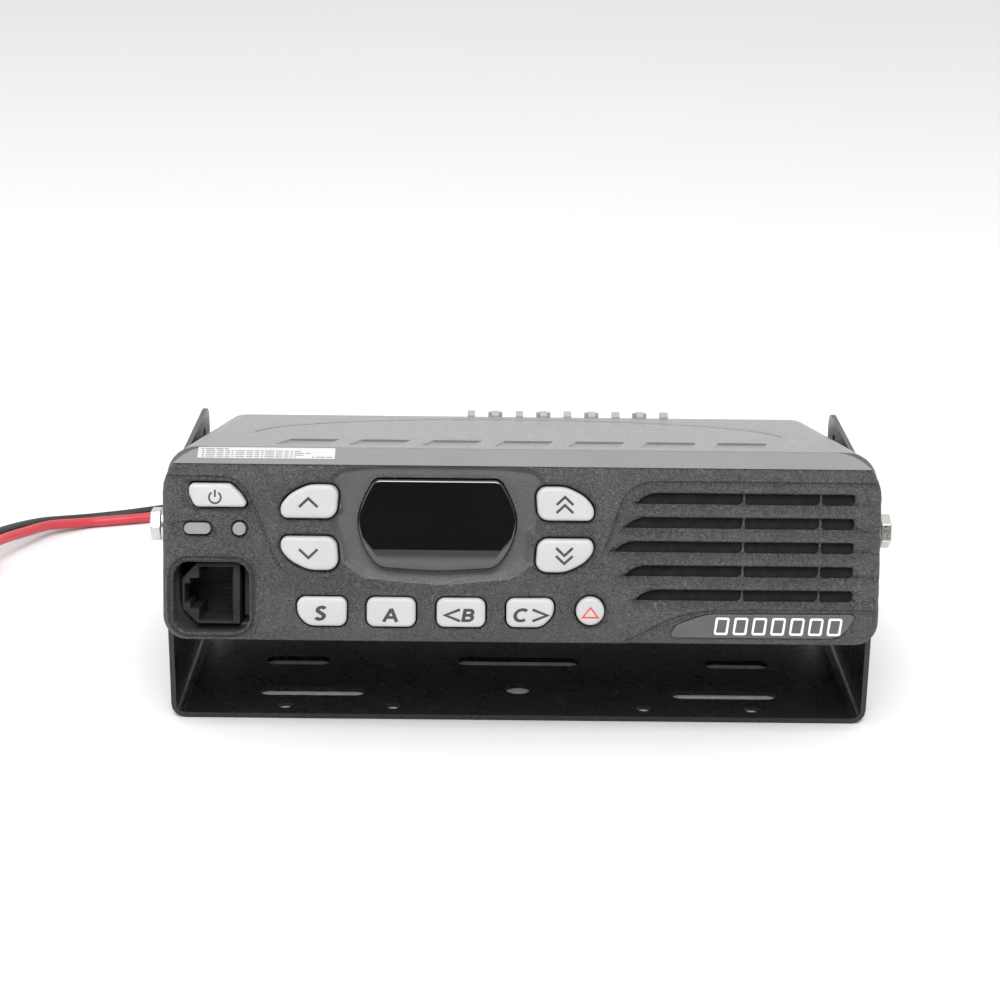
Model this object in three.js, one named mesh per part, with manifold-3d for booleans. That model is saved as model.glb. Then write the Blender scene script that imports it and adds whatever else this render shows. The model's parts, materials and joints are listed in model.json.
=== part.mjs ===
// Mobile transceiver in its U-shaped mounting bracket, with a short two-wire supply lead.
// Millimetres, +Z up, +X to the right as the front is faced, +Y to the back. The bracket stands on z = 0.
import * as THREE from "three";
import { mergeVertices } from "three/addons/utils/BufferGeometryUtils.js";
import Module from "manifold-3d";

const wasm = await Module();
wasm.setup();

// ---------------------------------------------------------------- driving dimensions
const gap = 0.3; // clearance between pieces that touch

// set, in its own frame: x from the middle, y back from the panel's face, z up from its underside
const bodyWidth = 160;
const bodyHeight = 43;
const bodyDepth = 101; // face to the rear of the case
const topCornerRadius = 10;
const bottomCornerRadius = 5.4;
const tiltDeg = 12.14; // the set leans back in the bracket: its rear hangs low

// front panel
const panelDepth = 5;
const faceThickness = 2.4;
const rimWidth = 3.6; // solid rim behind the face, down both sides
const browRise = 3.35; // the sloping band along the top of the panel
const tongueLength = 3.2; // the panel reaches this far into the case
const tongueWall = 1.4;
const keyTravel = 0.6;
const skirtThickness = 0.7; // of the flange behind each key
const skirtWidth = 0.75;
const keyProud = 0.9;
const keyClearance = 0.35; // all round a key in its aperture
const keyLineBelowTop = 17.28; // the line midway between the upper and lower arrow keys
const matGap = 0.9; // behind the keys' pocket
const matThickness = 1.2;
const boardThickness = 1.6;

// case
const caseInset = 0.4; // the case is this much smaller all round than the panel
const seamWidth = 1.2; // between panel and case, filled by the seal
const sideWall = 2.6;
const floorThickness = 2.4;
const coverWall = 1.6;
const splitHeight = 29; // chassis below, cover above
const rearWall = 5.6;
const finCount = 9;
const finPitch = 6.48;
const finWidth = 2;
const finLength = 6;
const finRise = 1.2; // fins stand this much above the cover
const finStart = -12.65; // the first fin's middle
const screwBack = 34; // front case screws, back from the face
const screwRearInset = 11; // rear case screws, in front of the case's rear
const screwSideInset = 10;

// bolts that carry the set
const boltRadius = 2;
const boltBack = 21.7;
const boltHeight = 23.4;
const boltHeadAcrossFlats = 7;
const boltHeadThickness = 2.4;
const washerRadius = 4.6;
const washerThickness = 0.8;

// bracket
const sheet = 1.2;
const flangeClearance = 0.9; // case side to flange, each side
const bracketDepth = 72;
const flangeHeight = 55.5;
const bendRadius = 3.3;
const pivotBack = 7.23; // bolt axis behind the bracket's front edge
const pivotHeight = 45.7;
const originBack = 41.9; // origin behind the bracket's front edge: under the middle of the whole

// speaker
const speakerRadius = 16.5;
const speakerFromLeft = 127;
const feltThickness = 0.9;

// supply lead
const wireDiameter = 2.9;
const wireSpacing = 4.4;
const glandFromLeft = 38;
const glandLength = 10;

const halfWidth = bodyWidth / 2;
const leftEdge = -halfWidth;
const keyLine = bodyHeight - keyLineBelowTop;
const caseFront = panelDepth + seamWidth;
const caseHalf = halfWidth - caseInset;
const chassisBottom = caseInset;
const floorTop = chassisBottom + floorThickness;
const coverInnerTop = bodyHeight - coverWall;
const tongueHalf = caseHalf - sideWall - 0.4;
const tongueBack = panelDepth + tongueLength;
const skirtFront = faceThickness + gap;
const skirtBack = skirtFront + skirtThickness;
const pocketBack = skirtBack + keyTravel + gap; // hollow behind the face
const matFront = pocketBack + matGap;
const boardFront = matFront + matThickness + gap;
const boardBack = boardFront + boardThickness;
const speakerFront = faceThickness + gap + feltThickness + gap;
const windowLip = 0.6; // thickness of the flange behind the window
const glassThickness = 1.4;
const innerHalf = caseHalf + flangeClearance; // inside of the bracket's flanges
const outerHalf = innerHalf + sheet;

// ---------------------------------------------------------------- solids
function toSolid(geometry) {
  const plain = geometry.index ? geometry : geometry.clone();
  plain.deleteAttribute("normal");
  plain.deleteAttribute("uv");
  const merged = mergeVertices(plain, 1e-4);
  return new wasm.Manifold(
    new wasm.Mesh({
      numProp: 3,
      vertProperties: merged.attributes.position.array,
      triVerts: new Uint32Array(merged.index.array),
    }),
  );
}

function toGeometry(solid) {
  const mesh = solid.getMesh();
  const count = mesh.vertProperties.length / mesh.numProp;
  const positions = new Float32Array(count * 3);
  for (let i = 0; i < count; i++) {
    positions.set(mesh.vertProperties.subarray(i * mesh.numProp, i * mesh.numProp + 3), i * 3);
  }
  const geometry = new THREE.BufferGeometry();
  geometry.setAttribute("position", new THREE.BufferAttribute(positions, 3));
  geometry.setIndex(new THREE.BufferAttribute(mesh.triVerts, 1));
  geometry.computeVertexNormals();
  return geometry;
}

const joined = (first, ...rest) => rest.reduce((sum, piece) => sum.add(piece), first);
const cutFrom = (first, ...rest) => rest.reduce((left, piece) => left.subtract(piece), first);

// An outline with rounded corners: corners are [across, up, radius], anticlockwise. grow moves it outwards.
function outline(corners, grow = 0) {
  const count = corners.length;
  const points = corners.map(([across, up]) => new THREE.Vector2(across, up));
  const normals = points.map((point, i) => {
    const along = points[(i + 1) % count].clone().sub(point).normalize();
    return new THREE.Vector2(along.y, -along.x);
  });
  const moved = points.map((point, i) => {
    const before = normals[(i + count - 1) % count];
    const after = normals[i];
    const both = before.clone().add(after);
    return point.clone().addScaledVector(both, (2 * grow) / both.lengthSq());
  });
  const path = [];
  moved.forEach((point, i) => {
    const towardsLast = moved[(i + count - 1) % count].clone().sub(point);
    const towardsNext = moved[(i + 1) % count].clone().sub(point);
    const half = towardsLast.angleTo(towardsNext) / 2;
    const room = 0.49 * Math.min(towardsLast.length(), towardsNext.length());
    const radius = Math.min(Math.max(corners[i][2] + grow, 0), room * Math.tan(half));
    if (radius < 0.02) {
      path.push(point);
      return;
    }
    const middle = towardsLast.clone().normalize().add(towardsNext.clone().normalize()).normalize();
    const centre = point.clone().addScaledVector(middle, radius / Math.sin(half));
    const reach = radius / Math.tan(half);
    const start = point.clone().addScaledVector(towardsLast.normalize(), reach).sub(centre).angle();
    const turn = Math.PI - 2 * half;
    const steps = Math.max(2, Math.ceil(turn / (radius > 6 ? 0.26 : 0.4)));
    for (let step = 0; step <= steps; step++) {
      const angle = start + (turn * step) / steps;
      path.push(new THREE.Vector2(Math.cos(angle), Math.sin(angle)).multiplyScalar(radius).add(centre));
    }
  });
  return new THREE.Shape(path);
}

const rectangle = (left, right, low, high, radius = 0) => [
  [left, low, radius],
  [right, low, radius],
  [right, high, radius],
  [left, high, radius],
];

function extruded(shape, length) {
  return new THREE.ExtrudeGeometry(shape, { depth: length, bevelEnabled: false, steps: 1 });
}

// A front outline (x, z) made solid from one depth to another.
function throughFront(shape, front, back) {
  const geometry = extruded(shape, back - front);
  geometry.rotateX(Math.PI / 2);
  geometry.translate(0, back, 0);
  return toSolid(geometry);
}

// A side outline (y, z) made solid from one x to another.
function throughSide(shape, from, to) {
  const geometry = extruded(shape, to - from);
  const basis = new THREE.Matrix4().makeBasis(
    new THREE.Vector3(0, 1, 0),
    new THREE.Vector3(0, 0, 1),
    new THREE.Vector3(1, 0, 0),
  );
  geometry.applyMatrix4(basis);
  geometry.translate(from, 0, 0);
  return toSolid(geometry);
}

// A plan outline (x, y) made solid from one height to another.
function throughPlan(shape, low, high) {
  const geometry = extruded(shape, high - low);
  geometry.translate(0, 0, low);
  return toSolid(geometry);
}

function block(x0, x1, y0, y1, z0, z1) {
  const geometry = new THREE.BoxGeometry(x1 - x0, y1 - y0, z1 - z0);
  geometry.translate((x0 + x1) / 2, (y0 + y1) / 2, (z0 + z1) / 2);
  return toSolid(geometry);
}

// A round bar along x, y or z between two values of that coordinate, through the point given by the other two.
function bar(axis, radius, from, to, first, second, sides = 24, endRadius = radius) {
  const geometry = new THREE.CylinderGeometry(endRadius, radius, Math.abs(to - from), sides);
  const middle = (from + to) / 2;
  if (axis === "x") {
    geometry.rotateZ(-Math.PI / 2 * Math.sign(to - from));
    geometry.translate(middle, first, second);
  } else if (axis === "y") {
    if (to < from) geometry.rotateX(Math.PI);
    geometry.translate(first, middle, second);
  } else {
    geometry.rotateX(Math.PI / 2 * Math.sign(to - from));
    geometry.translate(first, second, middle);
  }
  return toSolid(geometry);
}

function node(name, solid, colour, roughness = 0.6, metalness = 0) {
  const material = new THREE.MeshStandardMaterial({ color: colour, roughness, metalness });
  const mesh = new THREE.Mesh(toGeometry(solid), material);
  mesh.name = name;
  return mesh;
}

// ---------------------------------------------------------------- outlines on the front panel
// across is from the panel's left edge, up from its underside
const onPanel = (corners) => corners.map(([across, up, radius]) => [leftEdge + across, up, radius]);
const mirroredAcross = (corners, line) =>
  corners.map(([across, up, radius]) => [2 * line - across, up, radius]).reverse();
const mirroredUp = (corners, line) => corners.map(([across, up, radius]) => [across, 2 * line - up, radius]).reverse();

const bodyOutline = (inset) => {
  const top = Math.max(topCornerRadius - inset, 1);
  const bottom = Math.max(bottomCornerRadius - inset, 1);
  return [
    [-halfWidth + inset, inset, bottom],
    [halfWidth - inset, inset, bottom],
    [halfWidth - inset, bodyHeight - inset, top],
    [-halfWidth + inset, bodyHeight - inset, top],
  ];
};

const windowMiddle = 61.15; // of the display window, from the left edge
const upKey = [
  [26.6, keyLine + 2.13, 1.8],
  [38.8, keyLine + 2.13, 2.3],
  [39.3, keyLine + 9.43, 2.2],
  [31.8, keyLine + 9.43, 5.5],
  [26.45, keyLine + 5.5, 2.6],
];
const lowerKeys = {
  key_s: [[32.8, 3.7, 2.6], [41.1, 3.7, 1.8], [41.2, 10.2, 1.7], [30.2, 10.2, 1.9], [30, 6.2, 1.8]],
  key_a: rectangle(45.6, 56.5, 3.65, 10.2, 1.8),
  key_b: rectangle(61.15, 72, 3.7, 10.2, 1.8),
  key_c: [[76.7, 3.8, 1.8], [84.3, 3.8, 2.6], [87.25, 6.2, 2], [87.25, 10.35, 1.8], [76.65, 10.25, 1.8]],
};
const keyOutlines = {
  key_power: [
    [7.4, bodyHeight - 12.85, 1.3],
    [19.1, bodyHeight - 12.8, 1],
    [15.2, bodyHeight - 7.7, 2],
    [6.15, bodyHeight - 7.7, 1.1],
    [6.25, bodyHeight - 10, 1],
  ],
  key_up: upKey,
  key_down: mirroredUp(upKey, keyLine),
  key_channel_up: mirroredAcross(upKey, windowMiddle),
  key_channel_down: mirroredUp(mirroredAcross(upKey, windowMiddle), keyLine),
  ...lowerKeys,
};
const emergencyKey = { across: 95.35, up: 7.55, radius: 3.15 };

const windowOutline = [
  [48, keyLine - 8.6, 3],
  [windowMiddle, keyLine - 9.5, 30],
  [74.4, keyLine - 8.6, 3],
  [79.6, keyLine + 1.6, 9],
  [74.8, keyLine + 10.85, 1.6],
  [47.5, keyLine + 10.85, 1.6],
  [42.7, keyLine + 1.6, 9],
];
const basinOutline = [
  [43, keyLine - 11.5, 6],
  [windowMiddle, keyLine - 13.1, 40],
  [79.5, keyLine - 11.3, 6],
  [81.6, keyLine + 1, 12],
  [80.5, keyLine + 12.9, 5],
  [42, keyLine + 12.9, 5],
  [40.6, keyLine + 1, 12],
];
const statusLensOutline = rectangle(5.05, 10.9, keyLine - 1.7, keyLine + 0.75, 1.2);
const callLens = { across: 17.25, up: keyLine - 0.5, radius: 1.48 };

const micOpening = rectangle(2.4, 19.45, 1.85, 17.7, 3.6);
const micJackBox = { left: 3.8, right: 17.3, low: 3.1, high: 17.5, front: faceThickness + 1.1, back: 19 };
const micSteps = [
  [7.9, 15.45, 4.15, 16.2],
  [5.9, 8, 6.83, 13.6],
  [4.73, 6, 8.1, 12.4],
]; // the plug's opening: left, right, low, high

const badgeOutline = [
  [113.1, 1.5, 0.5],
  [bodyWidth - 9.7, 1.6, 2.5],
  [bodyWidth - 5.1, 7.3, 0.8],
  [121.5, 7.1, 5],
  [114, 4.3, 2.5],
];

// grille: five swept slots, each in three stretches with slim struts between them
const slotTips = [105.25, 102.75, 100.45, 102.8, 105.3];
const slotPitch = 5.42;
const slotHeight = 2.6;
const topSlotBelowTop = 8.95;
const slotEnd = bodyWidth - 6.1;
const strutWidth = 1.2;
const strutsFromEnd = [7.5, 24.6];

function slotOpenings() {
  return slotTips.flatMap((tip, i) => {
    const high = bodyHeight - topSlotBelowTop - i * slotPitch;
    const low = high - slotHeight;
    const whole = outline(
      onPanel([
        [tip, low + 0.35, 0.4],
        [slotEnd, low, 1.2],
        [slotEnd, high, 1.2],
        [tip + 3.2, high, 3],
      ]),
    );
    const struts = strutsFromEnd.map((back) => {
      const middle = leftEdge + slotEnd - back;
      return block(middle - strutWidth / 2, middle + strutWidth / 2, 0.9, tongueBack, low - 1, high + 1);
    });
    return [cutFrom(throughFront(whole, -1, faceThickness + 1), ...struts)];
  });
}

// The slots run on, shallower, round the panel's right edge.
function edgeNotches() {
  return slotTips.flatMap((tip, i) => {
    const high = bodyHeight - topSlotBelowTop - i * slotPitch;
    const low = high - slotHeight;
    return [
      block(leftEdge + slotEnd - 1, halfWidth + 1, -1, 0.8, low, high),
      block(halfWidth - 0.6, halfWidth + 1, -1, 3.4, low, high),
    ];
  });
}

// ---------------------------------------------------------------- front panel and what sits in it
function browCut() {
  // what lies above the sloping band
  const side = new THREE.Shape([
    new THREE.Vector2(-1, bodyHeight - browRise),
    new THREE.Vector2(0.4, bodyHeight - browRise),
    new THREE.Vector2(panelDepth, bodyHeight),
    new THREE.Vector2(panelDepth, bodyHeight + 1),
    new THREE.Vector2(-1, bodyHeight + 1),
  ]);
  return throughSide(side, -halfWidth - 1, halfWidth + 1);
}

// The blank label on the band's left end: a plate laid on the slope, from one depth under it to another.
function labelPlate(depth, grow, lift = 0) {
  const slopeStart = 0.4;
  const run = panelDepth - slopeStart;
  const slope = Math.atan2(browRise, run);
  const length = Math.hypot(run, browRise);
  const along = new THREE.BoxGeometry(30.4 + 2 * grow, length - 0.9 + 2 * grow, depth - lift);
  along.translate(0, length / 2, -(depth + lift) / 2);
  along.rotateX(slope);
  along.translate(leftEdge + 23, slopeStart, bodyHeight - browRise);
  return toSolid(along);
}

function speakerCentre() {
  return [leftEdge + speakerFromLeft, bodyHeight / 2 + 0.25];
}

function makeFrontPanel() {
  const shell = throughFront(outline(bodyOutline(0)), 0, panelDepth);
  const tongue = rectangle(-tongueHalf, tongueHalf, floorTop + gap, coverInnerTop - gap, 6);
  const behindFace = rectangle(-halfWidth + rimWidth, halfWidth - rimWidth, 1.8, bodyHeight - 4, 4);
  let panel = joined(shell, throughFront(outline(tongue), panelDepth - 0.5, tongueBack));
  panel = cutFrom(
    panel,
    throughFront(outline(behindFace), faceThickness, pocketBack),
    throughFront(outline(tongue, -tongueWall), faceThickness, tongueBack + 1),
  );
  const micCollar = throughFront(outline(onPanel(micOpening), 1.3), faceThickness - 0.5, micJackBox.front - gap);
  const insidePanel = throughFront(outline(rectangle(-tongueHalf, halfWidth, 1, bodyHeight, 3)), 0, panelDepth);
  panel = joined(panel, micCollar.intersect(insidePanel));
  panel = cutFrom(panel, browCut(), throughFront(outline(onPanel(basinOutline)), -1, 0.8));
  const apertures = Object.values(keyOutlines).map((corners) =>
    throughFront(outline(onPanel(corners), keyClearance), -1, faceThickness + 0.5),
  );
  const [coneX, coneZ] = speakerCentre();
  panel = cutFrom(
    panel,
    ...apertures,
    bar("y", emergencyKey.radius + keyClearance, -1, 3, leftEdge + emergencyKey.across, emergencyKey.up),
    throughFront(outline(onPanel(windowOutline), gap), -1, faceThickness + 0.5),
    throughFront(outline(onPanel(statusLensOutline), gap), -1, faceThickness + 0.5),
    bar("y", callLens.radius + gap, -1, 3, leftEdge + callLens.across, callLens.up, 16),
    throughFront(outline(onPanel(micOpening)), -1, micJackBox.front),
    block(
      leftEdge + 3,
      leftEdge + micJackBox.right + gap,
      micJackBox.front - gap,
      tongueBack + 1,
      micJackBox.low - gap,
      micJackBox.high + gap,
    ),
    throughFront(outline(onPanel(badgeOutline), gap), -1, 1.1),
    ...slotOpenings(),
    ...edgeNotches(),
    bar("y", speakerRadius + gap, faceThickness, tongueBack + 1, coneX, coneZ, 32),
    labelPlate(0.9, gap, -1),
  );
  return node("front_panel", panel, 0x3d3c3f, 0.75);
}

function makeKey(name, corners) {
  const cap = throughFront(outline(onPanel(corners)), -keyProud, skirtFront + 0.1);
  const skirt = throughFront(outline(onPanel(corners), skirtWidth), skirtFront, skirtBack);
  return node(name, joined(cap, skirt), 0xdcdcdc, 0.55);
}

function makeEmergencyKey() {
  const { across, up, radius } = emergencyKey;
  const cap = bar("y", radius, -keyProud, skirtFront + 0.1, leftEdge + across, up);
  const skirt = bar("y", radius + skirtWidth, skirtFront, skirtBack, leftEdge + across, up);
  return node("key_emergency", joined(cap, skirt), 0xdcdcdc, 0.55);
}

function makeDisplay() {
  const face = throughFront(outline(onPanel(windowOutline)), -0.4, faceThickness + 0.5);
  const crown = throughFront(outline(onPanel(windowOutline), -1.6), -1, 0);
  const lip = throughFront(
    outline(onPanel(windowOutline), 0.9),
    faceThickness + gap,
    faceThickness + gap + windowLip,
  );
  const glassFront = faceThickness + gap + windowLip + gap;
  const glassBack = glassFront + glassThickness;
  const glass = rectangle(44.6, 77.9, keyLine - 8.2, keyLine + 10, 0.4);
  const guide = rectangle(44.1, 78.4, keyLine - 9, keyLine + 10.5, 0.8);
  return [
    node("display_window", joined(face, crown, lip), 0x161418, 0.1),
    node("lcd_module", throughFront(outline(onPanel(glass)), glassFront, glassBack), 0x6f7566, 0.3),
    node(
      "backlight_guide",
      throughFront(outline(onPanel(guide)), glassBack + gap, boardFront - gap),
      0xe8e6df,
      0.4,
    ),
  ];
}

function makeLenses() {
  const place = [leftEdge + callLens.across, callLens.up, 16];
  const behind = faceThickness + gap;
  const pill = joined(
    throughFront(outline(onPanel(statusLensOutline)), -0.1, behind + 0.1),
    throughFront(outline(onPanel(statusLensOutline), 0.8), behind, behind + 0.6),
  );
  const round = joined(
    bar("y", callLens.radius, -0.1, behind + 0.1, ...place),
    bar("y", callLens.radius + 0.8, behind, behind + 0.6, ...place),
  );
  return [node("status_lens", pill, 0xb2b3b6, 0.35), node("call_lens", round, 0xb0b0b2, 0.35)];
}

function makeRatingLabel() {
  return node("rating_label", labelPlate(0.6, 0, 0.1), 0xe9e9ea, 0.5);
}

function makeBadgePlate() {
  return node("badge_plate", throughFront(outline(onPanel(badgeOutline)), 0.05, 0.8), 0x464548, 0.5);
}

function makeKeypadMat() {
  const boardRight = leftEdge + 106.5;
  const sheetArea = rectangle(leftEdge + 5.6, leftEdge + 100, 5, bodyHeight - 4.6, 5);
  let mat = throughFront(outline(sheetArea), matFront, matFront + matThickness);
  const lcdHole = rectangle(43.8, 78.7, keyLine - 9.3, keyLine + 10.8);
  const bumps = Object.values(keyOutlines).map((corners) => {
    const across = corners.reduce((sum, corner) => sum + corner[0], 0) / corners.length;
    const up = corners.reduce((sum, corner) => sum + corner[1], 0) / corners.length;
    return bar("y", 1.8, matFront - 0.4, matFront + 0.5, leftEdge + across, up, 12);
  });
  const emergencyBump = [leftEdge + emergencyKey.across, emergencyKey.up];
  mat = joined(mat, ...bumps, bar("y", 1.8, matFront - 0.4, matFront + 0.5, ...emergencyBump, 12));
  mat = cutFrom(
    mat,
    block(leftEdge, leftEdge + micJackBox.right + 0.6, 0, 12, 0, micJackBox.high + 0.6),
    throughFront(outline(onPanel(lcdHole)), 0, 12),
  );
  const boardArea = rectangle(leftEdge + 5.4, boardRight, 4.9, bodyHeight - 4.6, 5);
  let board = throughFront(outline(boardArea), boardFront, boardBack);
  board = cutFrom(
    board,
    block(leftEdge, leftEdge + micJackBox.right + 0.6, 0, 12, 0, micJackBox.high + 0.6),
  );
  return [node("keypad_mat", mat, 0x9c9c9a, 0.8), node("control_board", board, 0x1f4d35, 0.6)];
}

function makeMicJack() {
  const { left, right, low, high, front, back } = micJackBox;
  const housing = throughFront(
    outline(
      onPanel([
        [left, low, 5.2],
        [right, low, 0.6],
        [right, high, 0.6],
        [left, high, 2.6],
      ]),
    ),
    front,
    back,
  );
  const plug = micSteps.map(([x0, x1, z0, z1]) =>
    block(leftEdge + x0, leftEdge + x1, front - 1, back - 2, z0, z1),
  );
  return node("mic_jack", cutFrom(housing, ...plug), 0x1b1a1c, 0.5);
}

// ---------------------------------------------------------------- speaker
function latheAlongY(profile, x, z, sides = 32) {
  // profile: [radius, y] pairs that close on themselves
  const points = [...profile, profile[0]].map(([radius, back]) => new THREE.Vector2(radius, back));
  const geometry = new THREE.LatheGeometry(points, sides);
  geometry.translate(x, 0, z);
  return toSolid(geometry);
}

function makeSpeaker() {
  const [x, z] = speakerCentre();
  const rim = speakerRadius;
  const frame = latheAlongY(
    [
      [13.7, speakerFront],
      [rim, speakerFront],
      [rim, speakerFront + 1.4],
      [14.4, speakerFront + 2],
      [10.4, speakerFront + 8.6],
      [10.4, speakerFront + 9.6],
      [5, speakerFront + 9.6],
      [5, speakerFront + 8.4],
      [9.2, speakerFront + 8.2],
      [13.7, speakerFront + 1.6],
    ],
    x,
    z,
  );
  const magnet = bar("y", 9.2, speakerFront + 9.6 + gap, speakerFront + 15.2, x, z, 24);
  const cone = latheAlongY(
    [
      [0, speakerFront + 2.6],
      [3.4, speakerFront + 3.6],
      [12.6, speakerFront + 0.7],
      [13.4, speakerFront + 0.7],
      [13.4, speakerFront + 1.1],
      [4.4, speakerFront + 4.6],
      [4.4, speakerFront + 9],
      [3.8, speakerFront + 9],
      [3.6, speakerFront + 4.6],
      [0, speakerFront + 3.4],
    ],
    x,
    z,
  );
  const felt = bar("y", speakerRadius - 0.2, faceThickness + gap, speakerFront - gap, x, z, 24);
  return {
    fixed: [
      node("speaker_frame", frame, 0x6e6f72, 0.5, 0.6),
      node("speaker_magnet", magnet, 0x3a3a3c, 0.6, 0.4),
      node("speaker_felt", felt, 0x171618, 0.95),
    ],
    cone: node("speaker_cone", cone, 0x242326, 0.9),
  };
}

// ---------------------------------------------------------------- case
function sideOfCase(cornerRadius) {
  // rounded over at the top of the rear
  return outline([
    [caseFront, -1, 0],
    [bodyDepth, -1, 0],
    [bodyDepth, bodyHeight, cornerRadius],
    [caseFront, bodyHeight, 0],
  ]);
}

const screwPlaces = () => {
  const x = halfWidth - screwSideInset;
  const rear = bodyDepth - screwRearInset;
  return [
    ["front_left", -x, screwBack],
    ["front_right", x, screwBack],
    ["rear_left", -x, rear],
    ["rear_right", x, rear],
  ];
};
const floorBossTop = 9.5;

function boltBoss(side) {
  const outer = caseHalf + flangeClearance - gap;
  return bar("x", 5.2, side * (caseHalf - 11), side * outer, boltBack, boltHeight, 28);
}

function makeChassis() {
  const profile = outline(bodyOutline(caseInset));
  const lower = block(-bodyWidth, bodyWidth, caseFront, bodyDepth, chassisBottom - 1, splitHeight);
  let chassis = throughFront(profile, caseFront, bodyDepth).intersect(lower);
  const inside = rectangle(-caseHalf + sideWall, caseHalf - sideWall, floorTop, bodyHeight + 9, 2.6);
  const rearFace = bodyDepth - rearWall;
  chassis = cutFrom(chassis, throughFront(outline(inside), caseFront - 1, rearFace));
  const upstand = throughFront(outline(bodyOutline(caseInset + coverWall + gap)), rearFace, bodyDepth - gap);
  const rounding = throughSide(sideOfCase(1.6), -bodyWidth, bodyWidth);
  chassis = joined(chassis, upstand.intersect(rounding));
  for (let i = 0; i < finCount; i++) {
    const middle = finStart + i * finPitch;
    const back = bodyDepth + finLength;
    const fin = new THREE.Shape([
      new THREE.Vector2(bodyDepth - 1, 3.5),
      new THREE.Vector2(back, 3.5),
      new THREE.Vector2(back, bodyHeight + finRise - 1),
      new THREE.Vector2(back - 1, bodyHeight + finRise),
      new THREE.Vector2(bodyDepth + gap + 1, bodyHeight + finRise),
      new THREE.Vector2(bodyDepth + gap, bodyHeight + finRise - 1),
      new THREE.Vector2(bodyDepth + gap, splitHeight),
      new THREE.Vector2(bodyDepth - 1, splitHeight),
    ]);
    chassis = joined(chassis, throughSide(fin, middle - finWidth / 2, middle + finWidth / 2));
    if (i % 2 === 1) {
      // thickened pads on every other fin
      chassis = joined(
        chassis,
        block(middle - 1.9, middle + 1.9, back - 2.6, back, bodyHeight - 4, bodyHeight + finRise - 0.3),
      );
    }
  }
  for (const side of [-1, 1]) {
    chassis = joined(chassis, boltBoss(side));
    chassis = cutFrom(
      chassis,
      bar("x", boltRadius + gap, side * (caseHalf - 9.4), side * (caseHalf + 5), boltBack, boltHeight, 20),
      bar("x", 1.7, side * (caseHalf - 1.8), side * (caseHalf + 5), boltBack + 54.8, boltHeight, 16),
    );
  }
  for (const [, x, y] of screwPlaces()) {
    chassis = joined(chassis, bar("z", 5, chassisBottom + 0.5, floorBossTop, x, y, 20));
    chassis = cutFrom(
      chassis,
      bar("z", 1.8, -1, floorBossTop + 1, x, y, 12),
      bar("z", 3.3, -1, 4, x, y, 16),
    );
  }
  chassis = cutFrom(chassis, ...rearOpenings());
  return node("chassis", chassis, 0x2c2b2e, 0.5, 0.4);
}

function makeTopCover() {
  const upper = block(-bodyWidth, bodyWidth, caseFront, bodyDepth, splitHeight + gap, bodyHeight + 1);
  // the case's top is level with the panel's
  const lid = throughFront(
    outline([
      [-caseHalf, splitHeight, 0],
      [caseHalf, splitHeight, 0],
      [caseHalf, bodyHeight, topCornerRadius - caseInset],
      [-caseHalf, bodyHeight, topCornerRadius - caseInset],
    ]),
    caseFront,
    bodyDepth,
  );
  const inner = throughFront(
    outline([
      [-caseHalf + coverWall, 0, 0],
      [caseHalf - coverWall, 0, 0],
      [caseHalf - coverWall, coverInnerTop, topCornerRadius - caseInset - coverWall],
      [-caseHalf + coverWall, coverInnerTop, topCornerRadius - caseInset - coverWall],
    ]),
    caseFront - 1,
    bodyDepth + 1,
  );
  let cover = lid.intersect(upper).subtract(inner);
  cover = cover.intersect(throughSide(sideOfCase(1.6), -bodyWidth, bodyWidth));
  for (const [, x, y] of screwPlaces()) {
    const post = bar("z", 3.2, floorBossTop + boardThickness + 2 * gap, coverInnerTop + 0.4, x, y, 16);
    cover = cutFrom(joined(cover, post), bar("z", 1.75, 0, 24, x, y, 12));
  }
  return node("top_cover", cover, 0x48484b, 0.55);
}

function makeCaseScrews() {
  return screwPlaces().map(([place, x, y]) => {
    const head = bar("z", 3, 0.9, 3.7, x, y, 16);
    const shank = bar("z", 1.45, 3, 22, x, y, 12);
    const socket = bar("z", 1.3, 0, 2.4, x, y, 6);
    return node("case_screw_" + place, cutFrom(joined(head, shank), socket), 0x8f9094, 0.35, 0.9);
  });
}

function makePanelSeal() {
  const outer = outline(bodyOutline(caseInset + 0.3));
  const inner = outline(rectangle(-tongueHalf, tongueHalf, floorTop + gap, coverInnerTop - gap, 6), gap);
  const seal = cutFrom(
    throughFront(outer, panelDepth + gap, caseFront - gap),
    throughFront(inner, panelDepth, caseFront),
  );
  return node("panel_seal", seal, 0x151416, 0.9);
}

// ---------------------------------------------------------------- inside
function makeMainBoard() {
  const low = floorBossTop + gap;
  const half = caseHalf - sideWall - 1.5;
  const area = rectangle(-half, half, 23, bodyDepth - rearWall - 3.4, 1);
  let board = throughPlan(outline(area), low, low + boardThickness);
  for (const [, x, y] of screwPlaces()) board = cutFrom(board, bar("z", 2.1, 0, 20, x, y, 12));
  return board;
}

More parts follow.
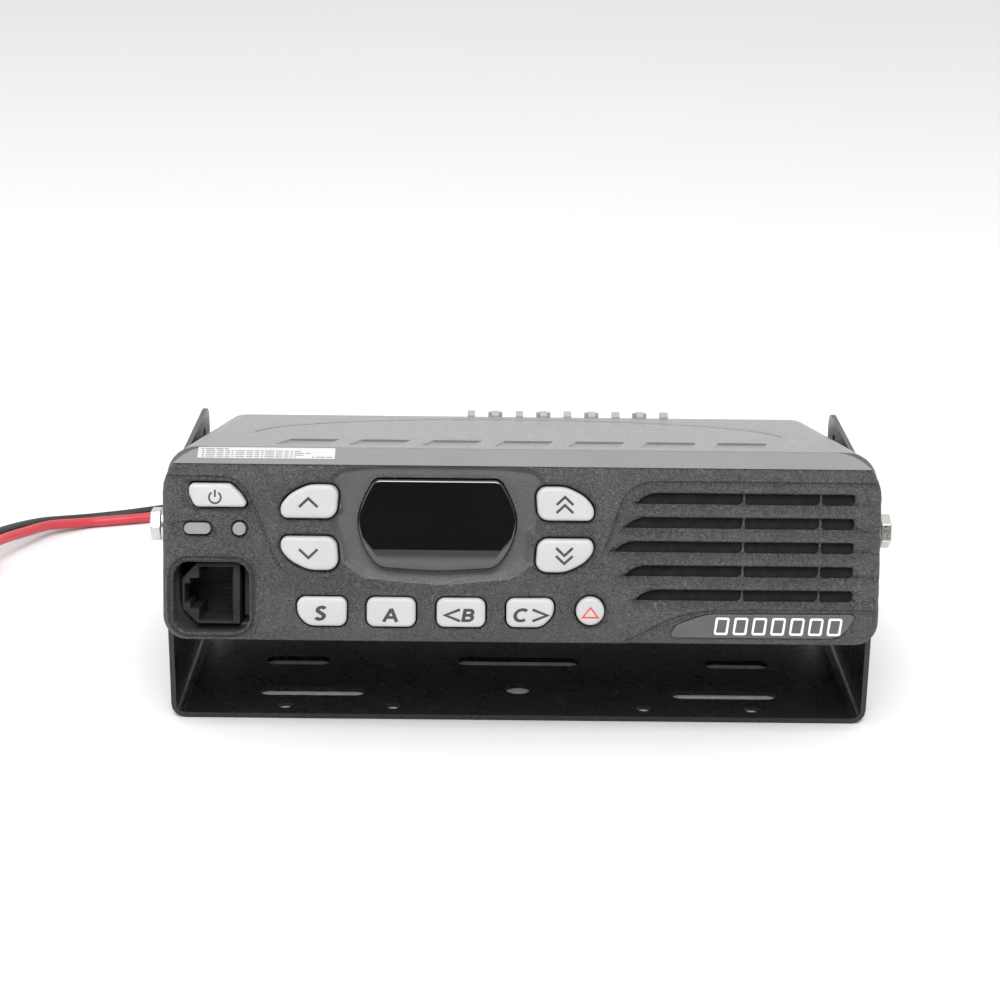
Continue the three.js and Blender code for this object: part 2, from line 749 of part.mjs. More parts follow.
function makeInside() {
  const boardTop = floorBossTop + gap + boardThickness;
  const onBoard = boardTop + gap;
  const can = (x0, x1, y0, y1, height) => {
    const shell = block(x0, x1, y0, y1, onBoard, onBoard + height);
    return cutFrom(shell, block(x0 + 0.6, x1 - 0.6, y0 + 0.6, y1 - 0.6, 0, onBoard + height - 0.6));
  };
  const rearFace = bodyDepth - rearWall;
  const powerModule = joined(
    block(-8, 44, rearFace - 11, rearFace - gap, onBoard, onBoard + 3),
    block(-6, 42, rearFace - 9, rearFace - gap, onBoard + 2.5, onBoard + 10),
  );
  const coil = bar("z", 6, onBoard, onBoard + 11, -32, rearFace - 13.4, 20);
  const cable = joined(
    block(leftEdge + 84, leftEdge + 100, boardBack + 2 * gap, boardBack + 3 * gap, 16, 25),
    block(leftEdge + 84, leftEdge + 100, boardBack + 2 * gap, 30, 24.7, 25),
    block(leftEdge + 84, leftEdge + 100, 29.7, 30, onBoard, 25),
  );
  return [
    node("main_board", makeMainBoard(), 0x1f4d35, 0.6),
    node("transmitter_shield", can(-4, halfWidth - 22, 40, rearFace - 15.4, 9), 0xb9babc, 0.35, 0.9),
    node("receiver_shield", can(leftEdge + 20, -12, 28, rearFace - 27.4, 7), 0xb9babc, 0.35, 0.9),
    node("rf_power_module", powerModule, 0x202022, 0.5),
    node("filter_capacitor", coil, 0x2a3550, 0.4),
    node("ribbon_cable", cable, 0xd8cfae, 0.5),
  ];
}

// ---------------------------------------------------------------- rear connections
const antennaPlace = { x: halfWidth - 18, z: 21 };
const accessory = { x0: leftEdge + 8, x1: leftEdge + 26, z0: 11.2, z1: 21.2 };
const speakerJackPlace = { x: leftEdge + 56, z: 12 };
const glandHeight = boltHeight; // on the bolts' level, so that tilting moves it along an arc
const glandX = leftEdge + glandFromLeft;

function rearOpenings() {
  const { x0, x1, z0, z1 } = accessory;
  const back = bodyDepth + 1;
  const front = bodyDepth - rearWall - 1;
  return [
    bar("y", 5 + gap, front, back, antennaPlace.x, antennaPlace.z, 20),
    block(x0 - gap, x1 + gap, front, back, z0 - gap, z1 + gap),
    bar("y", 3 + gap, front, back, speakerJackPlace.x, speakerJackPlace.z, 16),
    throughFront(outline(glandOutline(gap)), front, back),
  ];
}

function glandOutline(grow) {
  return rectangle(glandX - 5 - grow, glandX + 5 + grow, glandHeight - 3 - grow, glandHeight + 3 + grow, 2.8);
}

function makeRearConnections() {
  const { x, z } = antennaPlace;
  const inner = bodyDepth - rearWall - 2;
  const antenna = cutFrom(
    joined(
      bar("y", 5, inner, bodyDepth + 1, x, z, 20),
      throughFront(outline(rectangle(x - 9, x + 9, z - 9, z + 9, 2)), bodyDepth + gap, bodyDepth + 2.3),
      bar("y", 7.9, bodyDepth + 1, bodyDepth + 17, x, z, 28),
    ),
    bar("y", 6.1, bodyDepth + 4.5, bodyDepth + 18, x, z, 24),
  );
  const socketPin = joined(antenna, bar("y", 2.2, bodyDepth + 4, bodyDepth + 15.5, x, z, 14));
  const { x0, x1, z0, z1 } = accessory;
  const plugHousing = cutFrom(
    block(x0, x1, inner, bodyDepth + 1.5, z0, z1),
    block(x0 + 1.4, x1 - 1.4, bodyDepth - 4, bodyDepth + 2, z0 + 1.4, z1 - 1.4),
  );
  const jack = cutFrom(
    joined(
      bar("y", 3, inner, bodyDepth + 1, speakerJackPlace.x, speakerJackPlace.z, 16),
      bar("y", 4.4, bodyDepth + gap, bodyDepth + 1.8, speakerJackPlace.x, speakerJackPlace.z, 18),
    ),
    bar("y", 1.8, bodyDepth - 5, bodyDepth + 2, speakerJackPlace.x, speakerJackPlace.z, 14),
  );
  const rearStop = bodyDepth;
  const gland = joined(
    throughFront(outline(glandOutline(0)), inner, rearStop + 1),
    throughFront(outline(glandOutline(1.6)), rearStop + gap, rearStop + 2.4),
    throughFront(outline(glandOutline(0)), rearStop + 2, rearStop + 5.6),
    throughFront(outline(glandOutline(-0.7)), rearStop + 5, rearStop + glandLength),
  );
  return { antenna: socketPin, plugHousing, jack, gland };
}

function rearNodes() {
  const { antenna, plugHousing, jack, gland } = makeRearConnections();
  return [
    node("antenna_connector", antenna, 0xc4c5c8, 0.25, 1),
    node("accessory_socket", plugHousing, 0x1c1b1d, 0.5),
    node("external_speaker_jack", jack, 0x1c1b1d, 0.4),
    node("lead_gland", gland, 0x19181a, 0.8),
  ];
}

// ---------------------------------------------------------------- bolts
function makeBolt(place, side, turnDeg) {
  const washerIn = outerHalf + gap;
  const washerOut = washerIn + washerThickness;
  const headIn = washerOut + gap;
  const pivot = [boltBack, boltHeight];
  const shank = bar("x", boltRadius, side * (caseHalf - 9), side * (headIn + 0.5), ...pivot, 20);
  const ring = bar("x", washerRadius, side * washerIn, side * washerOut, ...pivot, 24);
  const ringHole = bar("x", boltRadius + gap, side * (washerIn - 1), side * (washerOut + 1), ...pivot, 20);
  const corner = boltHeadAcrossFlats / Math.sqrt(3);
  const hexagon = new THREE.CylinderGeometry(corner, corner, boltHeadThickness, 6);
  hexagon.rotateY(THREE.MathUtils.degToRad(turnDeg));
  hexagon.rotateZ(Math.PI / 2);
  hexagon.translate(side * (headIn + boltHeadThickness / 2), ...pivot);
  return [
    node("pivot_bolt_" + place, joined(shank, toSolid(hexagon)), 0xb8babd, 0.3, 1),
    node("pivot_washer_" + place, cutFrom(ring, ringHole), 0xa9abae, 0.35, 1),
  ];
}

// ---------------------------------------------------------------- bracket
function makeBracket() {
  const front = -originBack;
  const back = front + bracketDepth;
  const outerShape = outline([
    [-outerHalf, 0, bendRadius],
    [outerHalf, 0, bendRadius],
    [outerHalf, flangeHeight, 0],
    [-outerHalf, flangeHeight, 0],
  ]);
  const innerShape = outline([
    [-innerHalf, sheet, bendRadius - sheet],
    [innerHalf, sheet, bendRadius - sheet],
    [innerHalf, flangeHeight + 1, 0],
    [-innerHalf, flangeHeight + 1, 0],
  ]);
  let bracket = cutFrom(throughFront(outerShape, front, back), throughFront(innerShape, front - 1, back + 1));
  const side = outline([
    [front, -1, 0],
    [back, -1, 0],
    [back, flangeHeight, 3.5],
    [front, flangeHeight, 3.5],
  ]);
  bracket = bracket.intersect(throughSide(side, -bodyWidth, bodyWidth));
  const slot = (x, y, length, width) =>
    throughPlan(
      outline(rectangle(x - length / 2, x + length / 2, y - width / 2, y + width / 2, width / 2)),
      -1,
      sheet + 1,
    );
  const cuts = [
    slot(-54.6, front + 31.6, 16, 5),
    slot(0, front + 32.2, 30.6, 5),
    slot(54.6, front + 31.6, 16, 5),
    slot(-49.6, front + 13, 25.4, 4.8),
    slot(49.6, front + 13, 25.4, 4.8),
    slot(0, front + 15.6, 6.3, 6.3),
    slot(-54.6, front + 52, 16, 5),
    slot(54.6, front + 52, 16, 5),
    slot(0, front + 60, 6, 6),
    ...[-55.4, -29.8, 29.8, 55.4].map((x) => slot(x, front + 5, 3.6, 3.6)),
  ];
  const pivot = [front + pivotBack, pivotHeight];
  const flangeHoles = [
    bar("x", boltRadius + gap + 0.1, -outerHalf - 1, outerHalf + 1, ...pivot, 24),
    bar("x", 2.3, -outerHalf - 1, outerHalf + 1, front + 62, 50, 20),
  ];
  return node("mounting_bracket", cutFrom(bracket, ...cuts, ...flangeHoles), 0x232225, 0.4, 0.5);
}

// ---------------------------------------------------------------- supply lead, laid on the surface
// points behind the bracket's front edge: out of the gland, down to the surface behind the set, round to its
// left, and up a little where the connector holds the wires off the surface
const fromBracketFront = ([x, y, z]) => [x, y - originBack, z];
const redRoute = [
  [-44.2, 94.8, 26.85],
  [-44.2, 97.7, 26.22],
  [-44.2, 100.7, 25.58],
  [-44.6, 108, 23.4],
  [-46.4, 118, 18.8],
  [-50.6, 128.6, 12.6],
  [-58.4, 138.2, 6.6],
  [-69, 144.8, 2.9],
  [-82, 146.6, 1.7],
  [-95, 142.8, 1.6],
  [-107.9, 137.2, 1.6],
  [-119.6, 133.5, 1.6],
  [-125.5, 131.6, 1.7],
  [-130.3, 128, 2.5],
  [-135.1, 123.6, 3.5],
  [-140.2, 113.4, 5],
  [-144.6, 101.9, 6.6],
  [-147.4, 94, 6.8],
  [-148.6, 88.4, 6.8],
].map(fromBracketFront);
const blackRoute = [
  [-39.8, 94.8, 26.85],
  [-39.8, 97.7, 26.22],
  [-39.8, 100.7, 25.58],
  [-40.2, 108.6, 23.4],
  [-41.6, 120, 19.2],
  [-45, 132, 13.4],
  [-52.4, 143.4, 7.6],
  [-64, 151, 3.4],
  [-79, 152.8, 1.6],
  [-92.4, 149.4, 1.6],
  [-105.4, 144.2, 1.6],
  [-116, 139.2, 1.6],
  [-126, 135.2, 1.7],
  [-132.4, 131, 2.5],
  [-137.6, 126.4, 3.5],
  [-143.4, 116.6, 5.2],
  [-147.4, 107, 6.5],
  [-151.4, 96.4, 6.8],
  [-153.4, 88.4, 6.8],
].map(fromBracketFront);

function makeWire(name, route, colour) {
  const path = new THREE.CatmullRomCurve3(
    route.map(([x, y, z]) => new THREE.Vector3(x, y, z)),
    false,
    "centripetal",
  );
  const section = new THREE.Shape();
  for (let side = 0; side < 8; side++) {
    const angle = (side + 0.5) * (Math.PI / 4);
    const reach = wireDiameter / 2;
    const place = [reach * Math.cos(angle), reach * Math.sin(angle)];
    if (side === 0) section.moveTo(...place);
    else section.lineTo(...place);
  }
  section.closePath();
  const geometry = new THREE.ExtrudeGeometry(section, { steps: 32, extrudePath: path });
  return node(name, toSolid(geometry), colour, 0.5);
}

function makeLeadConnector() {
  // two-pole housing, with its wire end towards +Y before it is turned to meet the wires
  const group = new THREE.Group();
  const body = joined(
    block(-8.2, 8.2, -27, -gap, -6.2, 6.2),
    block(-6.6, 6.6, -33, -26, -4.8, 4.8),
  );
  const polarised = cutFrom(
    body,
    block(-8.3, -6.6, -28, -16, 2.2, 7),
    block(-5, -1.4, -34, -20, -2.6, 2.6),
    block(1.4, 5, -34, -20, -2.6, 2.6),
  );
  group.add(node("lead_connector", polarised, 0xd9d4c4, 0.5));
  group.position.set(...fromBracketFront([-151.1, 88.1, 6.8]));
  return group;
}

// ---------------------------------------------------------------- assembly
function assemble() {
  const transceiver = new THREE.Group();
  const set = new THREE.Group();
  const tilt = THREE.MathUtils.degToRad(tiltDeg);
  // the set turns about its bolts
  set.rotation.x = -tilt;
  const turned = new THREE.Vector3(0, boltBack, boltHeight).applyAxisAngle(new THREE.Vector3(1, 0, 0), -tilt);
  set.position.set(0, pivotBack - originBack - turned.y, pivotHeight - turned.z);
  const speaker = makeSpeaker();
  set.add(
    makeFrontPanel(),
    ...Object.entries(keyOutlines).map(([name, corners]) => makeKey(name, corners)),
    makeEmergencyKey(),
    ...makeDisplay(),
    ...makeLenses(),
    makeBadgePlate(),
    makeRatingLabel(),
    ...makeKeypadMat(),
    makeMicJack(),
    ...speaker.fixed,
    speaker.cone,
    makePanelSeal(),
    makeChassis(),
    makeTopCover(),
    ...makeCaseScrews(),
    ...makeInside(),
    ...rearNodes(),
    ...makeBolt("left", -1, 22),
    ...makeBolt("right", 1, 0),
  );
  transceiver.add(set);
  transceiver.add(
    makeBracket(),
    makeWire("supply_wire_red", redRoute, 0xc23c48),
    makeWire("supply_wire_black", blackRoute, 0x232225),
    makeLeadConnector(),
  );
  return transceiver;
}

export default assemble();
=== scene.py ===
import json
import math
import bmesh
import bpy
import numpy as np
from mathutils import Matrix, Vector
from mathutils.geometry import delaunay_2d_cdt

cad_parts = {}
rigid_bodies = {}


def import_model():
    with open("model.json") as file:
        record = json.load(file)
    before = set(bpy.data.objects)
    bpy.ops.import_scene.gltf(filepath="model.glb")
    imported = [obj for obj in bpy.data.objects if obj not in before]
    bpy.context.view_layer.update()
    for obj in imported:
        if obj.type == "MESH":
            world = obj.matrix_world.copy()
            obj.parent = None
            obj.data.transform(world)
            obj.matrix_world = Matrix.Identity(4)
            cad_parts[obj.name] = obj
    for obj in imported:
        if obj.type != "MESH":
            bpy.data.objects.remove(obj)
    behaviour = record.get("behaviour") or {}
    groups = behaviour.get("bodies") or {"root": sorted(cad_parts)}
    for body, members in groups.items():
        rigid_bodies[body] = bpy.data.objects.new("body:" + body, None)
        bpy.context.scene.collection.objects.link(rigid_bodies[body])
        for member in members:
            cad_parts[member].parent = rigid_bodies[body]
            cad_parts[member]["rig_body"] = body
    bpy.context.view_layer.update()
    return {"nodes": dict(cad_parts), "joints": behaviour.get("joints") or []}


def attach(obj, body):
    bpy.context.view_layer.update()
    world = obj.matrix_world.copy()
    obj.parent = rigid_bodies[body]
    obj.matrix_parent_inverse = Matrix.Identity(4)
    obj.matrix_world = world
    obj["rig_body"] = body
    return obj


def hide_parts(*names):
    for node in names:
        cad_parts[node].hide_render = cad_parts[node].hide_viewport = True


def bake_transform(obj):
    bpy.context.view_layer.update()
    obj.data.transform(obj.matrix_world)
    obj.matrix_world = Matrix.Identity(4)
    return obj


# Mobile transceiver in its tilting bracket. Lengths of the set's own pieces are in millimetres from the
# middle of its front panel (x), the panel's face (y, towards the back) and its underside (z).
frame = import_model()

setPlace = {"tiltDeg": 12.14, "boltBack": 21.7, "boltHeight": 23.4, "originBack": 41.9}
pivot = Vector(next(j["pos_m"] for j in frame["joints"] if j["name"] == "radio_tilt")) * 1000
setTilt = Matrix.Rotation(-math.radians(setPlace["tiltDeg"]), 3, "X")


def inSet(point):  # from the set's millimetres to the part's metres
    x, y, z = point
    return (pivot + setTilt @ Vector((x, y - setPlace["boltBack"], z - setPlace["boltHeight"]))) / 1000


def fromBracketFront(points):  # millimetres behind the bracket's front edge, to metres
    return [Vector((x, y - setPlace["originBack"], z)) / 1000 for x, y, z in points]


cameraView = {
    "place": (-6.372, -453.763, 209.554), "yawDeg": 0.180, "pitchDeg": 18.832, "rollDeg": 0.646,
    "lens": 75.90, "sensor": 36,
}


def addObject(name, data):
    made = bpy.data.objects.new(name, data)
    bpy.context.scene.collection.objects.link(made)
    return made


def addCamera():
    yaw, pitch, roll = (math.radians(cameraView[k]) for k in ("yawDeg", "pitchDeg", "rollDeg"))
    ahead = Vector((math.sin(yaw) * math.cos(pitch), math.cos(yaw) * math.cos(pitch), -math.sin(pitch)))
    level = Vector((math.cos(yaw), -math.sin(yaw), 0))
    above = level.cross(ahead)
    right = level * math.cos(roll) + above * math.sin(roll)
    up = above * math.cos(roll) - level * math.sin(roll)
    lens = bpy.data.cameras.new("studioCamera")
    lens.lens = cameraView["lens"]
    lens.sensor_width = cameraView["sensor"]
    lens.clip_start = 0.01
    lens.clip_end = 60
    camera = addObject("studioCamera", lens)
    turn = Matrix((right, up, -ahead)).transposed().to_4x4()
    camera.matrix_world = Matrix.Translation(fromBracketFront([cameraView["place"]])[0]) @ turn
    bpy.context.scene.camera = camera


addCamera()
print("camera placed")


def wire(tree, source, target):
    tree.links.new(source, target)
    return target


def addShaderNode(tree, kind, inputs=None, **settings):
    made = tree.nodes.new(kind)
    for key, value in settings.items():
        setattr(made, key, value)
    for key, value in (inputs or {}).items():
        if isinstance(value, bpy.types.NodeSocket):
            tree.links.new(value, made.inputs[key])
        else:
            made.inputs[key].default_value = value
    return made


def mapped(tree, stretch=(1, 1, 1)):
    place = addShaderNode(tree, "ShaderNodeTexCoord").outputs["Object"]
    return addShaderNode(tree, "ShaderNodeMapping", {"Vector": place, "Scale": stretch}).outputs["Vector"]


def noise(tree, scale, detail=2.0, distortion=0.0, stretch=(1, 1, 1), roughness=0.5):
    inputs = {"Vector": mapped(tree, stretch), "Scale": scale, "Detail": detail, "Distortion": distortion}
    inputs["Roughness"] = roughness
    return addShaderNode(tree, "ShaderNodeTexNoise", inputs).outputs["Fac"]


def between(tree, factor, low, high, start=0.35, stop=0.65):
    inputs = {"Value": factor, "From Min": start, "From Max": stop, "To Min": low, "To Max": high}
    return addShaderNode(tree, "ShaderNodeMapRange", inputs).outputs["Result"]


def blendColour(tree, factor, low, high):
    mixer = addShaderNode(tree, "ShaderNodeMix", data_type="RGBA")
    wire(tree, factor, mixer.inputs["Factor"])
    mixer.inputs[6].default_value = (*low, 1)
    mixer.inputs[7].default_value = (*high, 1)
    return mixer.outputs[2]


def finish(name, tones, rough, mottle=(60, 3), grain=None, fine=None, **sockets):
    # tones: two colours that a slow noise drifts between; rough: the two roughnesses it drifts between
    # grain and fine: (features per metre, height in metres, distortion) of the bumps
    material = bpy.data.materials.new(name)
    material.use_nodes = True
    tree = material.node_tree
    shader = tree.nodes["Principled BSDF"]
    drift = noise(tree, *mottle)
    wire(tree, blendColour(tree, between(tree, drift, 0, 1), *tones), shader.inputs["Base Color"])
    wire(tree, between(tree, noise(tree, mottle[0] * 7, 2), *rough), shader.inputs["Roughness"])
    normal = None
    for bumps in (grain, fine):
        if bumps:
            scale, height, distortion = bumps
            relief = noise(tree, scale, 2, distortion)
            inputs = {"Height": relief, "Distance": height, "Strength": 1.0}
            if normal:
                inputs["Normal"] = normal
            normal = addShaderNode(tree, "ShaderNodeBump", inputs).outputs["Normal"]
    if normal:
        wire(tree, normal, shader.inputs["Normal"])
    for key, value in sockets.items():
        shader.inputs[key].default_value = value
    return material


def grey(value, warm=0.0):
    return (value * (1 + warm), value, value * (1 + warm * 0.6))


def tone(low, high, warm=0.0):
    return grey(low, warm), grey(high, warm)


panelPlastic = finish("grainedPanelPlastic", tone(0.070, 0.088, 0.02), (0.34, 0.42), (90, 3),
                      (1100, 0.0014, 1.8), (3600, 0.00015, 0.4))
basinPlastic = finish("fineGrainPlastic", tone(0.072, 0.084, 0.02), (0.36, 0.42), (80, 3), (2600, 0.0002, 0.8))
coverPaint = finish("caseTexturePaint", tone(0.15, 0.16, 0.01), (0.27, 0.3), (50, 4), (3000, 0.00004, 0.4))
# the sloping band has the same paint as the cover; this lighter copy of it is painted light, brightening the
# band where the lamps here light it less
bandPaintWithPaintedLight = finish("bandPaintWithPaintedLight", tone(0.215, 0.23, 0.01), (0.3, 0.34), (50, 4), (3000, 0.00004, 0.4))
keyRubber = finish("paleKeyRubber", tone(0.48, 0.51), (0.42, 0.52), (120, 3), (5200, 0.000006, 0.2))
keyPrint = finish("blackKeyPrint", (grey(0.035, 0.02), grey(0.05, 0.02)), (0.5, 0.6), (200, 2))
redPrint = finish("redKeyPrint", ((0.62, 0.05, 0.04), (0.70, 0.07, 0.05)), (0.45, 0.55), (200, 2))
windowPlastic = finish("smokedWindow", tone(0.0045, 0.006), (0.012, 0.02), (30, 2), IOR=1.85)
lensPlastic = finish("frostedLens", tone(0.25, 0.29), (0.3, 0.42), (300, 2), (3000, 0.00001, 0.2))
jackPlastic = finish("socketPlastic", tone(0.018, 0.026), (0.35, 0.5), (200, 2), (4000, 0.00001, 0.2),
                     **{"Specular IOR Level": 0.25})
badgeFilm = finish("badgeFilm", tone(0.084, 0.096, 0.02), (0.38, 0.46), (150, 2), (3600, 0.00002, 0.4))
whitePrint = finish("whitePrint", tone(0.78, 0.84), (0.4, 0.5), (200, 2))
labelPaper = finish("labelFilm", tone(0.55, 0.6), (0.35, 0.5), (120, 2))
greyPrint = finish("greyPrint", tone(0.16, 0.2), (0.5, 0.6), (500, 2))
castMetal = finish("blastedDieCasting", tone(0.42, 0.46), (0.42, 0.46), (40, 2), Metallic=0.6)
bracketPaint = finish("bracketPowderCoat", tone(0.014, 0.017, 0.08), (0.27, 0.3), (40, 2))
brightZinc = finish("brightZinc", (grey(0.62), (0.66, 0.65, 0.60)), (0.2, 0.34), (300, 3),
                    (2600, 0.00001, 0.2), Metallic=1.0)
nickelPlate = finish("nickelPlate", tone(0.66, 0.74), (0.16, 0.26), (200, 2), Metallic=1.0)
tinnedSteel = finish("tinnedSteel", tone(0.5, 0.6), (0.3, 0.42), (150, 3), Metallic=1.0)
redInsulation = finish("redInsulation", ((0.50, 0.035, 0.05), (0.60, 0.05, 0.065)), (0.36, 0.46), (120, 3),
                       (2400, 0.00001, 0.3))
blackInsulation = finish("blackInsulation", tone(0.018, 0.026), (0.36, 0.46), (120, 3), (2400, 0.00001, 0.3))
nylonHousing = finish("nylonHousing", ((0.60, 0.57, 0.48), (0.66, 0.63, 0.54)), (0.42, 0.54), (90, 3),
                      (3000, 0.00001, 0.3))
softRubber = finish("softRubber", tone(0.014, 0.022), (0.6, 0.75), (90, 3), (2600, 0.00002, 0.3))
boardMask = finish("boardSolderMask", ((0.01, 0.06, 0.03), (0.015, 0.085, 0.045)), (0.3, 0.45), (400, 2),
                   (1600, 0.00002, 0.2))
moduleEpoxy = finish("moduleEpoxy", tone(0.012, 0.02), (0.4, 0.55), (200, 2), (3000, 0.00002, 0.3))
capacitorSleeve = finish("capacitorSleeve", ((0.02, 0.035, 0.08), (0.03, 0.05, 0.11)), (0.25, 0.35), (150, 2))
ribbonFilm = finish("ribbonFilm", ((0.50, 0.38, 0.16), (0.58, 0.46, 0.22)), (0.3, 0.4), (500, 2))
ferrite = finish("ferrite", tone(0.03, 0.045), (0.5, 0.65), (300, 3), (2000, 0.00003, 0.3))
pressedSteel = finish("pressedSteel", tone(0.3, 0.4), (0.35, 0.5), (150, 3), Metallic=0.9)
conePaper = finish("conePaper", tone(0.012, 0.02), (0.8, 0.95), (300, 3), (1800, 0.00006, 0.3))
dustCloth = finish("dustCloth", tone(0.014, 0.020), (0.9, 1.0), (500, 2), (1500, 0.0001, 0.2),
                   **{"Specular IOR Level": 0.08})
guideAcrylic = finish("guideAcrylic", tone(0.7, 0.78), (0.2, 0.3), (100, 2))
displayGlass = finish("displayGlass", ((0.14, 0.17, 0.12), (0.17, 0.20, 0.14)), (0.08, 0.14), (100, 2))
print("finishes made")


arcStep = 0.22  # radians between the points round a corner
weldWithin = 1e-5  # millimetres


def rounded(corners, grow=0.0):
    # corners are (across, up, radius), anticlockwise; grow moves the outline outwards
    count = len(corners)
    points = [Vector(c[:2]) for c in corners]
    normals = []
    for i, point in enumerate(points):
        along = (points[(i + 1) % count] - point).normalized()
        normals.append(Vector((along.y, -along.x)))
    moved = []
    for i, point in enumerate(points):
        both = normals[i - 1] + normals[i]
        moved.append(point + both * (2 * grow / both.length_squared))
    path = []
    for i, point in enumerate(moved):
        last = moved[i - 1] - point
        following = moved[(i + 1) % count] - point
        half = last.angle(following) / 2
        room = 0.49 * min(last.length, following.length)
        radius = min(max(corners[i][2] + grow, 0), room * math.tan(half))
        if radius < 0.02:
            path.append(tuple(point))
            continue
        middle = (last.normalized() + following.normalized()).normalized()
        centre = point + middle * (radius / math.sin(half))
        first = point + last.normalized() * (radius / math.tan(half)) - centre
        start = math.atan2(first.y, first.x)
        turn = math.pi - 2 * half
        steps = max(3, math.ceil(turn / arcStep))
        for step in range(steps + 1):
            angle = start + turn * step / steps
            path.append((centre.x + radius * math.cos(angle), centre.y + radius * math.sin(angle)))
    return path


def box(left, right, low, high, radius=0.0):
    return [(left, low, radius), (right, low, radius), (right, high, radius), (left, high, radius)]


def ring(x, z, radius, count):
    angles = np.arange(count) * 2 * math.pi / count
    return [(x + radius * math.cos(a), z + radius * math.sin(a)) for a in angles]


def divided(loop, step, closed=True):  # extra points so that no side is longer than step
    result = []
    ends = loop[1:] + loop[:1] if closed else loop[1:]
    for a, b in zip(loop, ends):
        parts = max(1, math.ceil(math.dist(a, b) / step))
        result += [(a[0] + (b[0] - a[0]) * k / parts, a[1] + (b[1] - a[1]) * k / parts) for k in range(parts)]
    return result if closed else result + [loop[-1]]


def stroke(points, width):  # a line's outline
    points = [Vector(p) for p in points]
    left, right = [], []
    for i, point in enumerate(points):
        back = (point - points[i - 1]).normalized() if i else None
        ahead = (points[i + 1] - point).normalized() if i + 1 < len(points) else None
        along = ((back or ahead) + (ahead or back)).normalized()
        side = Vector((-along.y, along.x))
        stretch = 1 / max(0.45, side.dot(Vector((-(ahead or back).y, (ahead or back).x))))
        left.append(tuple(point + side * width / 2 * stretch))
        right.append(tuple(point - side * width / 2 * stretch))
    return right + left[::-1]


def arc(x, z, radius, startDeg, stopDeg, steps=14, squash=1.0):
    angles = [math.radians(startDeg + (stopDeg - startDeg) * k / steps) for k in range(steps + 1)]
    return [(x + radius * math.cos(a), z + radius * squash * math.sin(a)) for a in angles]


def within(points, loops):  # even-odd: which points lie in the loops
    inside = np.zeros(len(points), bool)
    x, z = points[:, 0], points[:, 1]
    for loop in loops:
        a = np.array(loop)
        b = np.roll(a, -1, axis=0)
        for (ax, az), (bx, bz) in zip(a, b):
            if az == bz:
                continue
            crosses = (az > z) != (bz > z)
            inside ^= crosses & (x < (bx - ax) * (z - az) / (bz - az) + ax)
    return inside


def distance(points, line, closed=True):  # from each point to the line
    a = np.array(line)
    b = np.roll(a, -1, axis=0)
    if not closed:
        a, b = a[:-1], b[:-1]
    best = np.full(len(points), 1e9)
    for (ax, az), (bx, bz) in zip(a, b):
        dx, dz = bx - ax, bz - az
        size = dx * dx + dz * dz
        if size < 1e-12:
            continue
        t = np.clip(((points[:, 0] - ax) * dx + (points[:, 1] - az) * dz) / size, 0, 1)
        best = np.minimum(best, np.hypot(points[:, 0] - ax - t * dx, points[:, 1] - az - t * dz))
    return best


def inward(points, loop):  # distance from the loop, positive inside it
    return np.where(within(points, [loop]), 1, -1) * distance(points, loop)


def ease(low, high, value):
    t = np.clip((value - low) / (high - low), 0, 1)
    return t * t * (3 - 2 * t)


def roundOver(radius, edge):  # how far a rounded edge falls away, by the distance in from it
    inner = np.clip(radius - edge, 0, radius)
    return radius - np.sqrt(np.maximum(radius ** 2 - inner ** 2, 0))


def surface(points, depths):  # (across, up) points to (across, back, up)
    return np.column_stack([points[:, 0], depths, points[:, 1]])


def flatAt(depth):
    return lambda points: surface(points, np.full(len(points), depth))


def triangulate(closedLines, openLines, loose):
    points, edges = [], []
    for line in closedLines:
        first = len(points)
        points += line
        edges += [(first + k, first + (k + 1) % len(line)) for k in range(len(line))]
    for line in openLines:
        first = len(points)
        points += line
        edges += [(first + k, first + k + 1) for k in range(len(line) - 1)]
    points += loose
    made = delaunay_2d_cdt([Vector(p) for p in points], edges, [], 0, weldWithin)
    return np.array([tuple(p) for p in made[0]]), made[2], made[3]


def hexagons(loop, step, keepOff, clear):  # an even field of points inside a loop, away from others
    a = np.array(loop)
    low, high = a.min(0), a.max(0)
    field = []
    for row in range(int((high[1] - low[1]) / (step * 0.866)) + 1):
        z = low[1] + row * step * 0.866
        shift = step / 2 if row % 2 else 0
        field += [(x, z) for x in np.arange(low[0] + shift, high[0], step)]
    field = np.array(field)
    field = field[within(field, [loop])]
    near = np.array([p for line in keepOff for p in line])
    kept = np.ones(len(field), bool)
    for chunk in range(0, len(near), 400):
        part = near[chunk:chunk + 400]
        gaps = np.hypot(field[:, None, 0] - part[None, :, 0], field[:, None, 1] - part[None, :, 1]).min(1)
        kept &= gaps > clear
    return [tuple(p) for p in field[kept]]


def facesOf(points, faces, edgeLoops):
    middles = np.array([points[list(f)].mean(0) for f in faces])
    inside = within(middles, edgeLoops)
    return [tuple(f) for f, keep in zip(faces, inside) if keep], middles[inside]


def rimEdges(faces):  # directed edges that only one face has
    seen = {}
    for face in faces:
        for k in range(len(face)):
            edge = (face[k], face[(k + 1) % len(face)])
            seen[edge] = True
    return [edge for edge in seen if (edge[1], edge[0]) not in seen]


